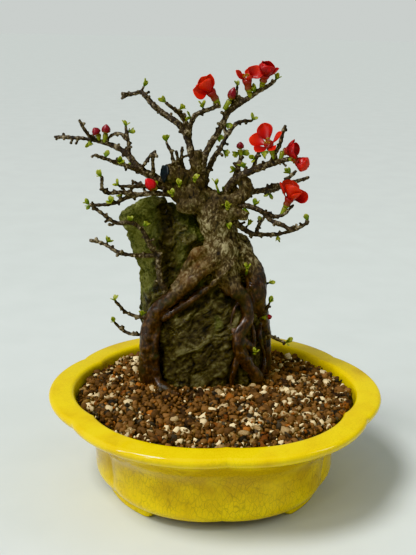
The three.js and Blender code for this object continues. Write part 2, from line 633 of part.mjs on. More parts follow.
        radii: [1.7, 1.4, 1.2, 1, 0.8] },
      { path: [[-43, 5.5, 169], [-51, 4, 167], [-58, 4, 164], [-70, 4, 163]], radii: [1.2, 1, 0.8] },
    ],
    tufts: [[-64, 182], [-54, 168], [-59, 166], [-72, 165]],
  },
  branch_back: {
    stems: [
      { path: [[-4, 17, 166], [-6, 28, 166], [-10, 40, 164], [-13, 53, 165]], radii: [2.2, 1.7, 1.3, 0.9] },
      { path: [[-6, 27, 166], [3, 38, 163], [9, 47, 164]], radii: [1.4, 0.9] },
      { path: [[-8, 34, 165], [-18, 44, 166]], radii: [1.1, 0.8] },
    ],
    tufts: [[-13, 168], [10, 167], [-20, 168]],
  },
  sucker_left: {
    stems: [
      { path: [[-26, 3, 110], [-29, 0, 115], [-32, 0, 121], [-33, 0, 127], [-33, 0, 133], [-32, 0, 138]],
        radii: [2, 1.8, 1.7, 1.5, 1.3] },
      { path: [[-33, 0.5, 135], [-38, -1, 143], [-42, -3, 151], [-47, -3, 155], [-56, -5, 156],
        [-64, -8, 162], [-69, -10, 167]], radii: [1.5, 1.3, 1.1, 1, 0.8] },
      { path: [[-33, 0.5, 136], [-42, 1, 136], [-48, 1, 136], [-57, 3, 138], [-63, 5, 141], [-71, 6, 143]],
        radii: [1.4, 1.1, 1, 0.8] },
    ],
    tufts: [[-48, 159], [-39, 155], [-60, 145], [-70, 165]],
  },
  shoot_left_upper: {
    stems: [{ path: [[-36, 8, 96], [-45, 7, 98], [-51, 6, 101], [-57, 4, 108]], radii: [1, 0.9, 0.8] }],
    tufts: [[-58, 111], [-42, 101]],
  },
  shoot_left_lower: {
    stems: [{ path: [[-37, 9, 85], [-45, 10, 86], [-52, 12, 87], [-58, 13, 92]], radii: [1, 0.9, 0.8] }],
    tufts: [[-59, 95]],
  },
  shoot_right_upper: {
    stems: [{ path: [[22, 13, 116], [27, 11, 116], [29, 10, 117]], radii: [0.9, 0.8] }],
    tufts: [[31, 118]],
  },
  shoot_right_middle: {
    stems: [{ path: [[22, 13, 94], [27, 9, 98], [30, 8, 105]], radii: [1.1, 0.8] }],
    tufts: [[31, 108], [26, 104]],
    flowers: [{ foot: [26, 9.5, 97], cup: [29, 8, 97] }],
  },
  shoot_right_lower: {
    stems: [{ path: [[25, 14, 87], [33, 12, 84], [41, 11, 80]], radii: [1, 0.8] }],
    tufts: [[42, 81]],
  },
};

// Tufts that spring straight from the old wood: foot inside the wood, and tip.
const TRUNK_TUFTS = {
  tuft_crown_1: { foot: [0.5, 11, 168], tip: [-2, 8, 176.5] },
  tuft_crown_2: { foot: [-14, 11, 176], tip: [-13.5, 5, 179] },
  tuft_crown_3: { foot: [-22, 10, 173], tip: [-22, 4, 176.5] },
  tuft_crown_4: { foot: [-25, 10.4, 168], tip: [-26, 4.6, 171] },
  tuft_crown_5: { foot: [4, 8, 161], tip: [4.5, 2, 164.5] },
  tuft_crown_6: { foot: [2, 18, 166], tip: [4, 24, 169] },
  tuft_neck: { foot: [4.5, 4.8, 153], tip: [5.5, -1, 154.5] },
  tuft_root: { foot: [16, 5.6, 124], tip: [15.8, -0.5, 131] },
  tuft_crevice: { foot: [21, 3.1, 76.5], tip: [22, -3.5, 82] },
};

// Open blooms: the cup that each stands in, its middle, petal length and how wide it opens in degrees.
const BLOOMS = {
  bloom_1: { cup: [-2.6, 3.8, 218.8], middle: [-7, 2, 227.2], petal: 8.8, opening: 42 },
  bloom_2: { cup: [14, 3, 224], middle: [11.5, 1.6, 233], petal: 7.8, opening: 46 },
  bloom_3: { cup: [20.6, 2.2, 228.6], middle: [22, 0.2, 235], petal: 6.8, opening: 36 },
  bloom_4: { cup: [26, -2.5, 195], middle: [23, -6.5, 200.5], petal: 9, opening: 66 },
  bloom_5: { cup: [31.6, -6.6, 194.6], middle: [35.2, -8.2, 195.4], petal: 6.4, opening: 34 },
  bloom_6: { cup: [37, -8.6, 191.2], middle: [40.3, -9.8, 189.6], petal: 6, opening: 28 },
  bloom_7: { cup: [35.6, 0.8, 163.2], middle: [38.6, 0, 171], petal: 8.8, opening: 52 },
};
const BLOOM_FEET = {
  bloom_1: [-1.5, 4, 217], bloom_2: [15, 4, 221], bloom_3: [20, 2.8, 226],
};
const BUDS = {
  bud_top: { foot: [1, 5, 215], cup: [4, 4.6, 219.5], tip: [6, 4, 226], radius: 2.3 },
  bud_left_bright: { cup: [-36.5, 8.5, 173], tip: [-39, 4.5, 178.5], radius: 2.8 },
  bud_left_dark_1: { cup: [-66, 21.5, 198.5], tip: [-68.5, 20, 202.5], radius: 2.3 },
  bud_left_dark_2: { cup: [-62, 21.5, 199], tip: [-61.5, 20.5, 204.5], radius: 2.4 },
  bud_crown_right: { cup: [11.5, 16, 192], tip: [11.5, 15.5, 196.5], radius: 2.1 },
  bud_shoot_right: { cup: [29, 8, 97], tip: [32, 7, 98], radius: 1.5 },
};

// Five petals that join in the flower's tube: a thick cup whose rim runs down to a notch between petals.
const PETALS = 5;
const PARTS_OF_PETAL = 4;

// Place on the cup, from its throat (0) to the petals' tips (1), as distance from the axis and height.
function cupCurve(part, petal, spread) {
  const lean = spread * (1.25 - 0.45 * part);
  return [1.5 + petal * part * Math.sin(lean), petal * part * Math.cos(lean)];
}

// Rows of the cup from its foot, up the outside and down the inside: radius, whether on the petals, part.
const CUP_ROWS = [[0, 0, 0], [1.2, 0, 0], [1.5, 1, 0], [1.5, 1, 0.5], [1.5, 1, 1], [0, 1, 1], [0, 1, 0.3]];
const FIRST_INNER_ROW = 5;
const NOTCH_DEPTH = 0.55;
const BLOOM_TUBE = { least: 2, intoPetals: 0.45 };
const GATHER_TO_NOTCH = 0.45;

function bloomSolid({ cup, middle, petal, opening }, grow) {
  const [base, centre] = [vector(cup), vector(middle)];
  const axis = centre.clone().sub(base);
  const tubeLength = Math.max(BLOOM_TUBE.least, axis.length() - BLOOM_TUBE.intoPetals * petal);
  axis.normalize();
  const { side, face } = basisAlong(axis, new THREE.Vector3(0, 1, 0));
  const spread = THREE.MathUtils.degToRad(opening);
  const last = CUP_ROWS.length - 1;
  const profile = CUP_ROWS.map((row, index) => new THREE.Vector2(index % last === 0 ? 0 : 1, index));
  const turned = new THREE.LatheGeometry(profile, PETALS * PARTS_OF_PETAL);
  const pitch = (2 * Math.PI) / PETALS;
  return solidOf(moveVertices(turned, (point) => {
    const index = Math.round(point.y);
    const turn = Math.atan2(point.x, point.z) / pitch;
    const petalMiddle = Math.round(turn);
    const aside = 2 * (turn - petalMiddle);
    const angle = pitch * (petalMiddle + 0.5 * Math.sign(aside) * Math.abs(aside) ** GATHER_TO_NOTCH);
    const [tubeRadius, onPetal, part] = CUP_ROWS[index];
    const inner = index >= FIRST_INNER_ROW;
    const reach = part * (1 - NOTCH_DEPTH * Math.abs(aside) ** 4);
    let [radius, height] = [tubeRadius + grow, -grow];
    if (onPetal) {
      [radius, height] = cupCurve(reach, petal, spread);
      radius += inner ? -PETAL_THICKNESS - grow : grow;
      height += tubeLength + (inner ? 0.4 * PETAL_THICKNESS : 0) + grow * part;
    }
    radius = index % last === 0 ? 0 : Math.max(0.4, radius);
    point.copy(base).addScaledVector(axis, SEAT_GAP + height)
      .addScaledVector(side, radius * Math.cos(angle)).addScaledVector(face, radius * Math.sin(angle));
  }));
}

const BUD_TAPER = 0.18;

function budSolid({ cup, tip, radius }, grow) {
  const [base, end] = [vector(cup), vector(tip)];
  const axis = end.clone().sub(base).normalize();
  const half = (end.distanceTo(base) - SEAT_GAP) / 2;
  const { side, face } = basisAlong(axis, new THREE.Vector3(0, 1, 0));
  const middle = base.clone().addScaledVector(axis, SEAT_GAP + half);
  const ball = new THREE.SphereGeometry(1, 7, 5);
  return solidOf(moveVertices(ball, (point) => {
    const { x, y, z } = point;
    const taper = 1 - BUD_TAPER * y;
    point.copy(middle).addScaledVector(side, x * taper * (radius + grow))
      .addScaledVector(face, z * taper * (radius + grow)).addScaledVector(axis, y * (half + grow));
  }));
}

function branchSolid({ stems, tufts, flowers = [] }, seed, grow) {
  const wood = stems.map((stem) => stemSolid(stem, grow));
  const leaves = tufts.flatMap(([x, z], index) => {
    const foot = nearestOnStems(stems, x, z);
    return tuftSolids(foot, tuftTip(foot, x, z, index), seed + index, grow);
  });
  const cups = flowers.map((flower) => cupSolid(flower, grow));
  return joined([...wood, ...leaves, ...cups]);
}

// Assembly: each piece is cut clear of the pieces before it.
const assembly = new THREE.Group();
const takenRooms = [];

function place(name, makeSolid, colour, roughness) {
  let solid = makeSolid(0);
  const reach = solid.boundingBox();
  for (const room of takenRooms) {
    const box = room.boundingBox();
    if ([0, 1, 2].every((axis) => box.min[axis] < reach.max[axis] && box.max[axis] > reach.min[axis])) {
      solid = solid.subtract(room);
    }
  }
  takenRooms.push(makeSolid(CLEARANCE));
  assembly.add(pieceOf(name, mainBody(solid), colour, roughness));
}

assembly.add(pieceOf('pot', potSolid(), COLOURS.glaze, 0.18));
assembly.add(pieceOf('drain_screen_left', screenSolid(-1), COLOURS.screen, 0.6));
assembly.add(pieceOf('drain_screen_right', screenSolid(1), COLOURS.screen, 0.6));
place('rock', rockSolid, COLOURS.rock, 0.85);
place('trunk_and_roots', treeSolid, COLOURS.bark, 0.7);
assembly.add(pieceOf('soil_bed', mainBody(soilSolid().subtract(joined(takenRooms))), COLOURS.soil, 0.95));
place('wound_seal', sealSolid, COLOURS.seal, 0.35);

const flowersOfBranch = {
  branch_top_left: [{ foot: BLOOM_FEET.bloom_1, cup: BLOOMS.bloom_1.cup }, BUDS.bud_top],
  branch_top_right: [
    { foot: BLOOM_FEET.bloom_2, cup: BLOOMS.bloom_2.cup },
    { foot: BLOOM_FEET.bloom_3, cup: BLOOMS.bloom_3.cup },
  ],
};
Object.entries(BRANCHES).forEach(([name, branch], index) => {
  const flowers = [...(branch.flowers ?? []), ...(flowersOfBranch[name] ?? [])];
  const seed = SEED + 100 * (index + 1);
  place(name, (grow) => branchSolid({ ...branch, flowers }, seed, grow), COLOURS.twig, 0.75);
});
Object.entries(TRUNK_TUFTS).forEach(([name, { foot, tip }], index) => {
  const makeTuft = (grow) => joined(tuftSolids(vector(foot), vector(tip), SEED + index, grow));
  place(name, makeTuft, COLOURS.shoot, 0.5);
});
Object.entries(BLOOMS).forEach(([name, bloom]) => {
  place(name, (grow) => bloomSolid(bloom, grow), COLOURS.petal, 0.45);
});
Object.entries(BUDS).forEach(([name, bud]) => {
  place(name, (grow) => budSolid(bud, grow), COLOURS.bud, 0.4);
});

export default assembly;
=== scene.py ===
"""Dressed model of a root-over-rock flowering quince in a six-lobed yellow pot.

Sizes are in millimetres until a mesh is made. +Z is up, -Y is the front, and the origin is the middle of
the pot's footprint, on the surface that it stands on.
"""

import json
import logging
import math
from abc import ABC, abstractmethod
from dataclasses import dataclass, field
from enum import Enum
from functools import partial
from itertools import product
from typing import Any, Callable, Mapping, Sequence

import bmesh
import bpy
import numpy as np
from mathutils import Matrix, Vector
from mathutils.kdtree import KDTree

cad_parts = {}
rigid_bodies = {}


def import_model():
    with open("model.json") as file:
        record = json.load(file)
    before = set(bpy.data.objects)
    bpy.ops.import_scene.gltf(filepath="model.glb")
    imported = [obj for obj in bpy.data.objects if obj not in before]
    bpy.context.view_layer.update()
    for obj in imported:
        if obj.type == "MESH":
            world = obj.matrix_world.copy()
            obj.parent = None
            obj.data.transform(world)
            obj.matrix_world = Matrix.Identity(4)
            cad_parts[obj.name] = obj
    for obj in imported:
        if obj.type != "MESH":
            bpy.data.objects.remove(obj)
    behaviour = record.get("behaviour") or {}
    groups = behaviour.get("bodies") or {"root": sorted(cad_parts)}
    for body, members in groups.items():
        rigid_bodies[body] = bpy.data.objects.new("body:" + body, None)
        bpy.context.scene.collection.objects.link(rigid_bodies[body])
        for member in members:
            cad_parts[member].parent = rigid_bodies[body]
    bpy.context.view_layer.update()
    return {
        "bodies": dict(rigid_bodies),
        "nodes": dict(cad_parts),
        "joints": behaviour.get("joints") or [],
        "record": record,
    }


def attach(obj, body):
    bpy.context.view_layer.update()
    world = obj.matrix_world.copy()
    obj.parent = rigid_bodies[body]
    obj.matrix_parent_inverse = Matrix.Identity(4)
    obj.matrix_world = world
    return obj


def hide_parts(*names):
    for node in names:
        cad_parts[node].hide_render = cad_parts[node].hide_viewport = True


LOG = logging.getLogger("quince")
Array = np.ndarray
Point = tuple[float, float, float]
MM = 0.001
SEED = 1706
BLOOM_SEED = SEED + 500
TUFT_SEED = SEED + 900
GOLDEN_TURN = 2.4
AWAY = np.array([0, 1, 0])


# Repeatable noise on arrays of points.
def lattice(cell: Array, seed: int) -> Array:
    """Repeatable random numbers from 0 to 1 at whole-number places.

    Args:
        cell: Whole-number places, the last axis of length 3.
        seed: Number that picks one of many such sets.

    Returns:
        One number for each place.
    """
    i, j, k = (cell[..., axis].astype(np.int64) for axis in range(3))
    mixed = ((i * 73856093) ^ (j * 19349663) ^ (k * 83492791) ^ seed) & 0xFFFFFFFF
    mixed = ((mixed ^ (mixed >> 13)) * 1274126177) & 0xFFFFFFFF
    return (mixed ^ (mixed >> 16)) / 4294967296


def noise(points: Array, size: float, seed: int = SEED) -> Array:
    """Smooth noise from -1 to 1.

    Args:
        points: Places in millimetres.
        size: Size of the features in millimetres.
        seed: Number that picks one of many such fields.

    Returns:
        One number for each point.
    """
    place = points / size
    base = np.floor(place)
    part = place - base
    part = part * part * (3 - 2 * part)
    total = np.zeros(points.shape[:-1])
    for corner in product((0, 1), repeat=3):
        step = np.array(corner)
        weight = np.prod(np.where(step == 1, part, 1 - part), axis=-1)
        total += weight * lattice(base + step, seed)
    return 2 * total - 1


def fractal(points: Array, size: float, octaves: int, seed: int = SEED) -> Array:
    """Noise with finer and finer detail, each layer half the size and height of the one before.

    Args:
        points: Places in millimetres.
        size: Size of the largest features in millimetres.
        octaves: Number of layers.
        seed: Number that picks one of many such fields.

    Returns:
        One number for each point, from about -1 to 1.
    """
    layers = [noise(points, size / 2 ** n, seed + 7 * n) / 2 ** n for n in range(octaves)]
    return np.sum(layers, axis=0) / (2 - 2 ** (1 - octaves))


def wandering(points: Array, size: float, seed: int) -> Array:
    """A small shift for each point along each axis, from noise of this size."""
    return np.stack([noise(points, size, seed + axis) for axis in range(3)], axis=-1)


def ease(low: float, high: float, value: Array) -> Array:
    """Smooth step from 0 at low to 1 at high."""
    part = np.clip((value - low) / (high - low), 0, 1)
    return part * part * (3 - 2 * part)


def unit(vectors: Array) -> Array:
    """The same directions with length 1."""
    return vectors / np.maximum(np.linalg.norm(vectors, axis=-1, keepdims=True), 1e-9)


# Forms: meshes while they are made.
@dataclass
class Form:
    """Points and faces of a piece while it is made.

    A face has three or four corners. A three-cornered one has -1 in the last place. Marks are numbers of
    each point that the finishes read.
    """

    points: Array
    faces: Array
    finish: Array | None = None
    marks: dict[str, Array] = field(default_factory=dict)

    def __post_init__(self) -> None:
        """Gives every face the first finish where none is stated."""
        if self.finish is None:
            self.finish = np.zeros(len(self.faces), dtype=int)

    def worn(self, finish: int, **marks: float | Array) -> "Form":
        """The form with one finish all over and with marks on its points.

        Args:
            finish: Place of the finish in the piece's list of finishes.
            **marks: One number, or one for each point, for each mark.

        Returns:
            The form itself.
        """
        self.finish = np.full(len(self.faces), finish)
        for name, value in marks.items():
            self.marks[name] = np.broadcast_to(value, len(self.points)).astype(float)
        return self

    def normals(self) -> Array:
        """Outward direction at each point."""
        corners = np.where(self.faces < 0, self.faces[:, 2:3], self.faces)
        a, b, c, d = (self.points[corners[:, n]] for n in range(4))
        across = np.cross(c - a, d - b)
        across = np.where((self.faces[:, 3:4] < 0), np.cross(b - a, c - a), across)
        total = np.zeros_like(self.points)
        for n in range(4):
            np.add.at(total, corners[:, n], across)
        return unit(total)

    def mesh(self, name: str, scale: float = MM) -> bpy.types.Mesh:
        """A Blender mesh of the form.

        Args:
            name: Name of the mesh.
            scale: Blender units in a millimetre.

        Returns:
            The new mesh.
        """
        made = bpy.data.meshes.new(name)
        real = self.faces >= 0
        counts = real.sum(axis=1)
        corners = self.faces[real]
        made.vertices.add(len(self.points))
        made.vertices.foreach_set("co", (self.points * scale).ravel())
        made.loops.add(len(corners))
        made.loops.foreach_set("vertex_index", corners)
        made.polygons.add(len(self.faces))
        made.polygons.foreach_set("loop_start", np.concatenate([[0], np.cumsum(counts)[:-1]]))
        made.polygons.foreach_set("material_index", self.finish)
        for mark, values in self.marks.items():
            made.attributes.new(mark, "FLOAT", "POINT").data.foreach_set("value", values)
        made.update(calc_edges=True)
        made.validate()
        return made


def form_of(mesh: bpy.types.Mesh) -> Form:
    """The form of a Blender mesh whose faces have three or four corners."""
    points = np.empty(3 * len(mesh.vertices))
    mesh.vertices.foreach_get("co", points)
    counts = np.empty(len(mesh.polygons), dtype=int)
    mesh.polygons.foreach_get("loop_total", counts)
    corners = np.empty(len(mesh.loops), dtype=int)
    mesh.loops.foreach_get("vertex_index", corners)
    faces = np.full((len(counts), 4), -1)
    faces[np.arange(4) < counts[:, None]] = corners
    return Form(points.reshape(-1, 3), faces)


def placed(name: str, data: bpy.types.ID) -> bpy.types.Object:
    """A new object in the scene that holds the data."""
    made = bpy.data.objects.new(name, data)
    bpy.context.scene.collection.objects.link(made)
    return made


def worked(holder: bpy.types.Object) -> Form:
    """The form of an object after its modifiers."""
    result = holder.evaluated_get(bpy.context.evaluated_depsgraph_get())
    form = form_of(result.to_mesh())
    result.to_mesh_clear()
    bpy.data.objects.remove(holder)
    return form


def closed_form(shape: bmesh.types.BMesh) -> Form:
    """The form of an edited mesh, which is then let go."""
    mesh = bpy.data.meshes.new("shape")
    shape.to_mesh(mesh)
    shape.free()
    form = form_of(mesh)
    bpy.data.meshes.remove(mesh)
    return form


def joined(forms: Sequence[Form]) -> Form:
    """Several forms as one, without welding them."""
    starts = np.cumsum([0] + [len(form.points) for form in forms])
    names = {name for form in forms for name in form.marks}
    return Form(
        np.concatenate([form.points for form in forms]),
        np.concatenate([np.where(f.faces < 0, -1, f.faces + s) for f, s in zip(forms, starts)]),
        np.concatenate([form.finish for form in forms]),
        {n: np.concatenate([f.marks.get(n, np.zeros(len(f.points))) for f in forms]) for n in names},
    )


def fused(form: Form, voxel: float, smoothing: int) -> Form:
    """Grows overlapping closed forms into one skin.

    Args:
        form: Closed forms, joined.
        voxel: Size of the new skin's cells in millimetres.
        smoothing: Number of times that the skin is relaxed.

    Returns:
        The new skin.
    """
    holder = placed("growing", form.mesh("growing", scale=1))
    remesh = holder.modifiers.new("skin", "REMESH")
    remesh.mode = "VOXEL"
    remesh.voxel_size = voxel
    relax = holder.modifiers.new("relax", "SMOOTH")
    relax.iterations = smoothing
    return worked(holder)


def grid_faces(rows: int, columns: int, closed: bool) -> Array:
    """Faces of a grid of points, numbered along each row.

    Args:
        rows: Number of rows.
        columns: Number of points in a row.
        closed: Whether each row is a ring.

    Returns:
        The faces, four corners each.
    """
    index = np.arange(rows * columns).reshape(rows, columns)
    if closed:
        index = np.concatenate([index, index[:, :1]], axis=1)
    corners = [index[:-1, :-1], index[:-1, 1:], index[1:, 1:], index[1:, :-1]]
    return np.stack(corners, axis=-1).reshape(-1, 4)


def round_turns(count: int) -> Array:
    """Evenly spaced angles of a full turn, in radians."""
    return np.linspace(0, 2 * math.pi, count, endpoint=False)


def rings(grid: Array) -> Form:
    """Closed form through rings of points, with a point at the middle of each end."""
    rows, columns = grid.shape[:2]
    points = np.concatenate([grid.reshape(-1, 3), grid[0].mean(axis=0)[None], grid[-1].mean(axis=0)[None]])
    ring = np.arange(columns)
    after = (ring + 1) % columns
    none = np.full(columns, -1)
    start = np.stack([after, ring, np.full(columns, rows * columns), none], axis=-1)
    last = (rows - 1) * columns
    end = np.stack([ring + last, after + last, np.full(columns, rows * columns + 1), none], axis=-1)
    return Form(points, np.concatenate([grid_faces(rows, columns, True), start, end]))


def blade(grid: Array, thickness: float) -> Form:
    """Closed thin blade, such as a leaf or petal.

    Args:
        grid: Its middle surface, rows x columns x 3, from its base to its tip.
        thickness: Distance between its two faces.

    Returns:
        The blade, marked "along" from 0 at its base to 1 at its tip and "across" from 0 to 1.
    """
    rows, columns = grid.shape[:2]
    face = unit(np.cross(np.gradient(grid, axis=0), np.gradient(grid, axis=1)))
    points = np.concatenate([grid + face * thickness / 2, grid - face * thickness / 2]).reshape(-1, 3)
    count = rows * columns
    index = np.arange(count).reshape(rows, columns)
    top = grid_faces(rows, columns, False)[:, ::-1]
    under = top[:, ::-1] + count
    border = np.concatenate([index[:-1, 0], index[-1, :-1], index[:0:-1, -1], index[0, :0:-1]])
    after = np.roll(border, -1)
    rim = np.stack([after, border, border + count, after + count], axis=-1)
    along = np.tile(np.repeat(np.linspace(0, 1, rows), columns), 2)
    across = np.tile(np.tile(np.linspace(0, 1, columns), rows), 2)
    return Form(points, np.concatenate([top, under, rim]), marks={"along": along, "across": across})


def smooth_curve(points: Sequence[Point], step: float) -> Array:
    """Evenly spaced places on a smooth curve through points.

    Args:
        points: Places that the centripetal Catmull-Rom curve passes through.
        step: Distance between the places.

    Returns:
        The places, from the first point to the last.
    """
    knots = np.array(points, dtype=float)
    knots = np.concatenate([[2 * knots[0] - knots[1]], knots, [2 * knots[-1] - knots[-2]]])
    pieces = []
    part = np.linspace(0, 1, 24, endpoint=False)[:, None]
    for a, b, c, d in zip(knots, knots[1:], knots[2:], knots[3:]):
        before, here, after = (math.sqrt(np.linalg.norm(q - p)) for p, q in ((a, b), (b, c), (c, d)))
        leave = (b - a) / before - (c - a) / (before + here) + (c - b) / here
        arrive = (c - b) / here - (d - b) / (here + after) + (d - c) / after
        leave, arrive = leave * here, arrive * here
        pieces.append(b + leave * part + (3 * (c - b) - 2 * leave - arrive) * part ** 2
                      + (2 * (b - c) + leave + arrive) * part ** 3)
    dense = np.concatenate([*pieces, knots[-2:-1]])
    length = np.concatenate([[0], np.cumsum(np.linalg.norm(np.diff(dense, axis=0), axis=1))])
    count = max(3, round(length[-1] / step) + 1)
    places = np.linspace(0, length[-1], count)
    return np.stack([np.interp(places, length, dense[:, axis]) for axis in range(3)], axis=-1)


def spread_values(values: Sequence[float], count: int) -> Array:
    """Values spaced evenly along a path, at count places on it."""
    return np.interp(np.linspace(0, 1, count), np.linspace(0, 1, len(values)), values)


def axes_along(path: Array) -> tuple[Array, Array]:
    """Two directions square to a path at each of its places, without twist."""
    forward = unit(np.gradient(path, axis=0))
    hint = np.array([0.0, 0.0, 1.0]) if abs(forward[0, 2]) < 0.9 else np.array([1.0, 0.0, 0.0])
    side = unit(np.cross(forward[0], hint))
    sides = []
    for direction in forward:
        side = unit(side - direction * side.dot(direction))
        sides.append(side)
    across = np.array(sides)
    return across, np.cross(forward, across)


def tube(path: Array, radii: Array, sides: int) -> Form:
    """Closed round form along a path.

    Args:
        path: Places along its middle.
        radii: Radius at each place.
        sides: Number of points round it.

    Returns:
        The tube, marked "along" from 0 to 1.
    """
    across, up = axes_along(path)
    turn = round_turns(sides)[None, :, None]
    ring = across[:, None] * np.cos(turn) + up[:, None] * np.sin(turn)
    form = rings(path[:, None] + ring * radii[:, None, None])
    form.marks["along"] = np.concatenate([np.repeat(np.linspace(0, 1, len(path)), sides), [0, 1]])
    return form


def ball(detail: int) -> Form:
    """Round form of radius 1 with even triangles, finer with more detail."""
    shape = bmesh.new()
    bmesh.ops.create_icosphere(shape, subdivisions=detail, radius=1)
    return closed_form(shape)


def basis(forward: Array, hint: Array) -> tuple[Array, Array, Array]:
    """Side, forward and face directions of a piece that points along a direction."""
    forward = unit(np.asarray(forward, dtype=float))
    side = np.cross(forward, hint)
    if np.linalg.norm(side) < 1e-2:
        side = np.cross(forward, (1, 0.3, 0))
    side = unit(side)
    return side, forward, np.cross(side, forward)


# Finishes.
Adder = Callable[..., bpy.types.NodeSocket]
Setter = Callable[..., None]


def linear(colour: str) -> tuple[float, float, float, float]:
    """Linear colour of an sRGB hex value such as "#e8d612"."""
    parts = [int(colour[n:n + 2], 16) / 255 for n in (1, 3, 5)]
    red, green, blue = (p / 12.92 if p <= 0.04045 else ((p + 0.055) / 1.055) ** 2.4 for p in parts)
    return red, green, blue, 1.0


def per_mm(size: float) -> float:
    """Scale of a texture whose features are this size in millimetres."""
    return 1 / (size * MM)


def set_node(tree: bpy.types.NodeTree, node: bpy.types.Node, settings: Mapping[str | int, Any] | None = None,
             links: Mapping[str | int, bpy.types.NodeSocket] | None = None) -> None:
    """Gives a node its values and links.

    Args:
        tree: Nodes of the material.
        node: The node.
        settings: Values by property, input name or input number. "stops" are a colour ramp's positions
            with an sRGB hex value each.
        links: Sockets by the name or number of the input that each feeds.
    """
    for key, value in (settings or {}).items():
        if key == "stops":
            elements = node.color_ramp.elements
            elements[0].position, elements[1].position = value[0][0], value[-1][0]
            for place, _ in value[1:-1]:
                elements.new(place)
            for element, (_, shade) in zip(elements, value):
                element.color = linear(shade)
        elif isinstance(key, str) and hasattr(node, key):
            setattr(node, key, value)
        else:
            node.inputs[key].default_value = value
    for key, socket in (links or {}).items():
        tree.links.new(socket, node.inputs[key])


def add_node(tree: bpy.types.NodeTree, kind: str, settings: Mapping[str | int, Any] | None = None,
             links: Mapping[str | int, bpy.types.NodeSocket] | None = None,
             out: str = "") -> bpy.types.NodeSocket:
    """Adds one node with its values and links.

    Args:
        tree: Nodes of the material.
        kind: Type of the node.
        settings: Its values, as set_node takes them.
        links: Its links, as set_node takes them.
        out: Name of the wanted output, where it isn't the first one in use.

    Returns:
        That output.
    """
    node = tree.nodes.new(f"ShaderNode{kind}")
    set_node(tree, node, settings, links)
    return node.outputs[out] if out else next(socket for socket in node.outputs if socket.enabled)


@dataclass(frozen=True)
class Finish(ABC):
    """What a surface is made of and how it was made."""

    name: str

    @abstractmethod
    def paint(self, add: Adder, surface: Setter) -> None:
        """Adds the nodes of this finish.

        Args:
            add: Adds a node to the material.
            surface: Gives the surface shader its values and links.
        """

    @staticmethod
    def marks(add: Adder, *names: str) -> tuple[bpy.types.NodeSocket, ...]:
        """The numbers that a form's points carry under these names."""
        return tuple(add("Attribute", {"attribute_name": name}, out="Fac") for name in names)

    def material(self) -> bpy.types.Material:
        """The material of this finish, made once."""
        material = bpy.data.materials.get(self.name)
        if material is None:
            material = bpy.data.materials.new(self.name)
            material.use_nodes = True
            tree = material.node_tree
            self.paint(partial(add_node, tree), partial(set_node, tree, tree.nodes["Principled BSDF"]))
        return material


@dataclass(frozen=True)
class CrackledGlaze(Finish):
    """Lemon glaze, dipped and fired on stoneware. It is glassy, a little deeper where it ran thick, and
    a net of fine dark cracks lies in it. The real cracks are hairlines, drawn wide enough to show. Painted
    shade darkens a band of the wall under the lip."""

    thin: str = "#e3c902"
    thick: str = "#dcbd02"
    # Dark glaze where it ran thick. The painted shade under the lip reaches this colour too.
    run_and_lip_shade: str = "#bd9a01"
    crack: str = "#5f4f06"
    pool_size: float = 16.0
    wave_size: float = 5.0
    crazed_patch: float = 24.0
    crack_spacing: float = 2.4
    crack_width: float = 0.07
    roughness: float = 0.09

    def paint(self, add: Adder, surface: Setter) -> None:
        """Adds the pooled colour, painted shade under the lip, coarse and fine cracks and the surface's slow
        waves.
        """
        place = add("TexCoord", out="Object")
        pooled = add("TexNoise", {"Scale": per_mm(self.pool_size), "Detail": 3}, {"Vector": place})
        up = add("SeparateXYZ", links={"Vector": place}, out="Z")
        # Painted shade: a darker band on the wall under the lip, fading out towards the foot. It is taken off
        # the pooled depth below, so it pulls the glaze towards its darkest colour.
        below_lip = add("MapRange", {"From Min": 0.052, "From Max": 0.044, "To Max": 0.34}, {"Value": up})
        above_foot = add("MapRange", {"From Min": 0.01, "From Max": 0.034}, {"Value": up})
        wall = add("Math", {"operation": "MULTIPLY"}, {0: below_lip, 1: above_foot})
        depth = add("Math", {"operation": "SUBTRACT"}, {0: pooled, 1: wall})
        glaze = add("ValToRGB", {"stops": ((0.1, self.run_and_lip_shade), (0.4, self.thick), (0.62, self.thin))},
                    {"Fac": depth})
        drift = add("TexNoise", {"Scale": per_mm(self.wave_size)}, {"Vector": place}, out="Color")
        run_down = add("Mapping", {"vector_type": "TEXTURE", "Scale": (1, 1, 2.3)}, {"Vector": place})
        bent = add("Mix", {"data_type": "VECTOR", "Factor": 0.0012}, {4: run_down, 5: drift})
        nets = []
        for spacing, darkness in ((self.crack_spacing, 0.5), (0.5 * self.crack_spacing, 0.34)):
            net = add("TexVoronoi", {"feature": "DISTANCE_TO_EDGE", "Scale": per_mm(spacing)},
                      {"Vector": bent})
            nets.append(add("MapRange", {"From Max": self.crack_width, "To Min": darkness, "To Max": 0.0},
                            {"Value": net}))
        patchy = add("TexNoise", {"Scale": per_mm(self.crazed_patch)}, {"Vector": place})
        patch = add("MapRange", {"From Min": 0.25, "From Max": 0.55}, {"Value": patchy})
        both = add("Math", {"operation": "MAXIMUM"}, {0: nets[0], 1: nets[1]})
        off_lip = add("MapRange", {"From Max": 0.34, "To Min": 0.35, "To Max": 1.0}, {"Value": below_lip})
        seen = add("Math", {"operation": "MULTIPLY"}, {0: patch, 1: off_lip})
        shown = add("Math", {"operation": "MULTIPLY"}, {0: both, 1: seen})
        colour = add("Mix", {"data_type": "RGBA", 7: linear(self.crack)}, {0: shown, 6: glaze})
        bump = add("Bump", {"Strength": 0.15, "Distance": 0.0004}, {"Height": pooled})
        surface({"Roughness": self.roughness, "IOR": 1.5}, {"Base Color": colour, "Normal": bump})


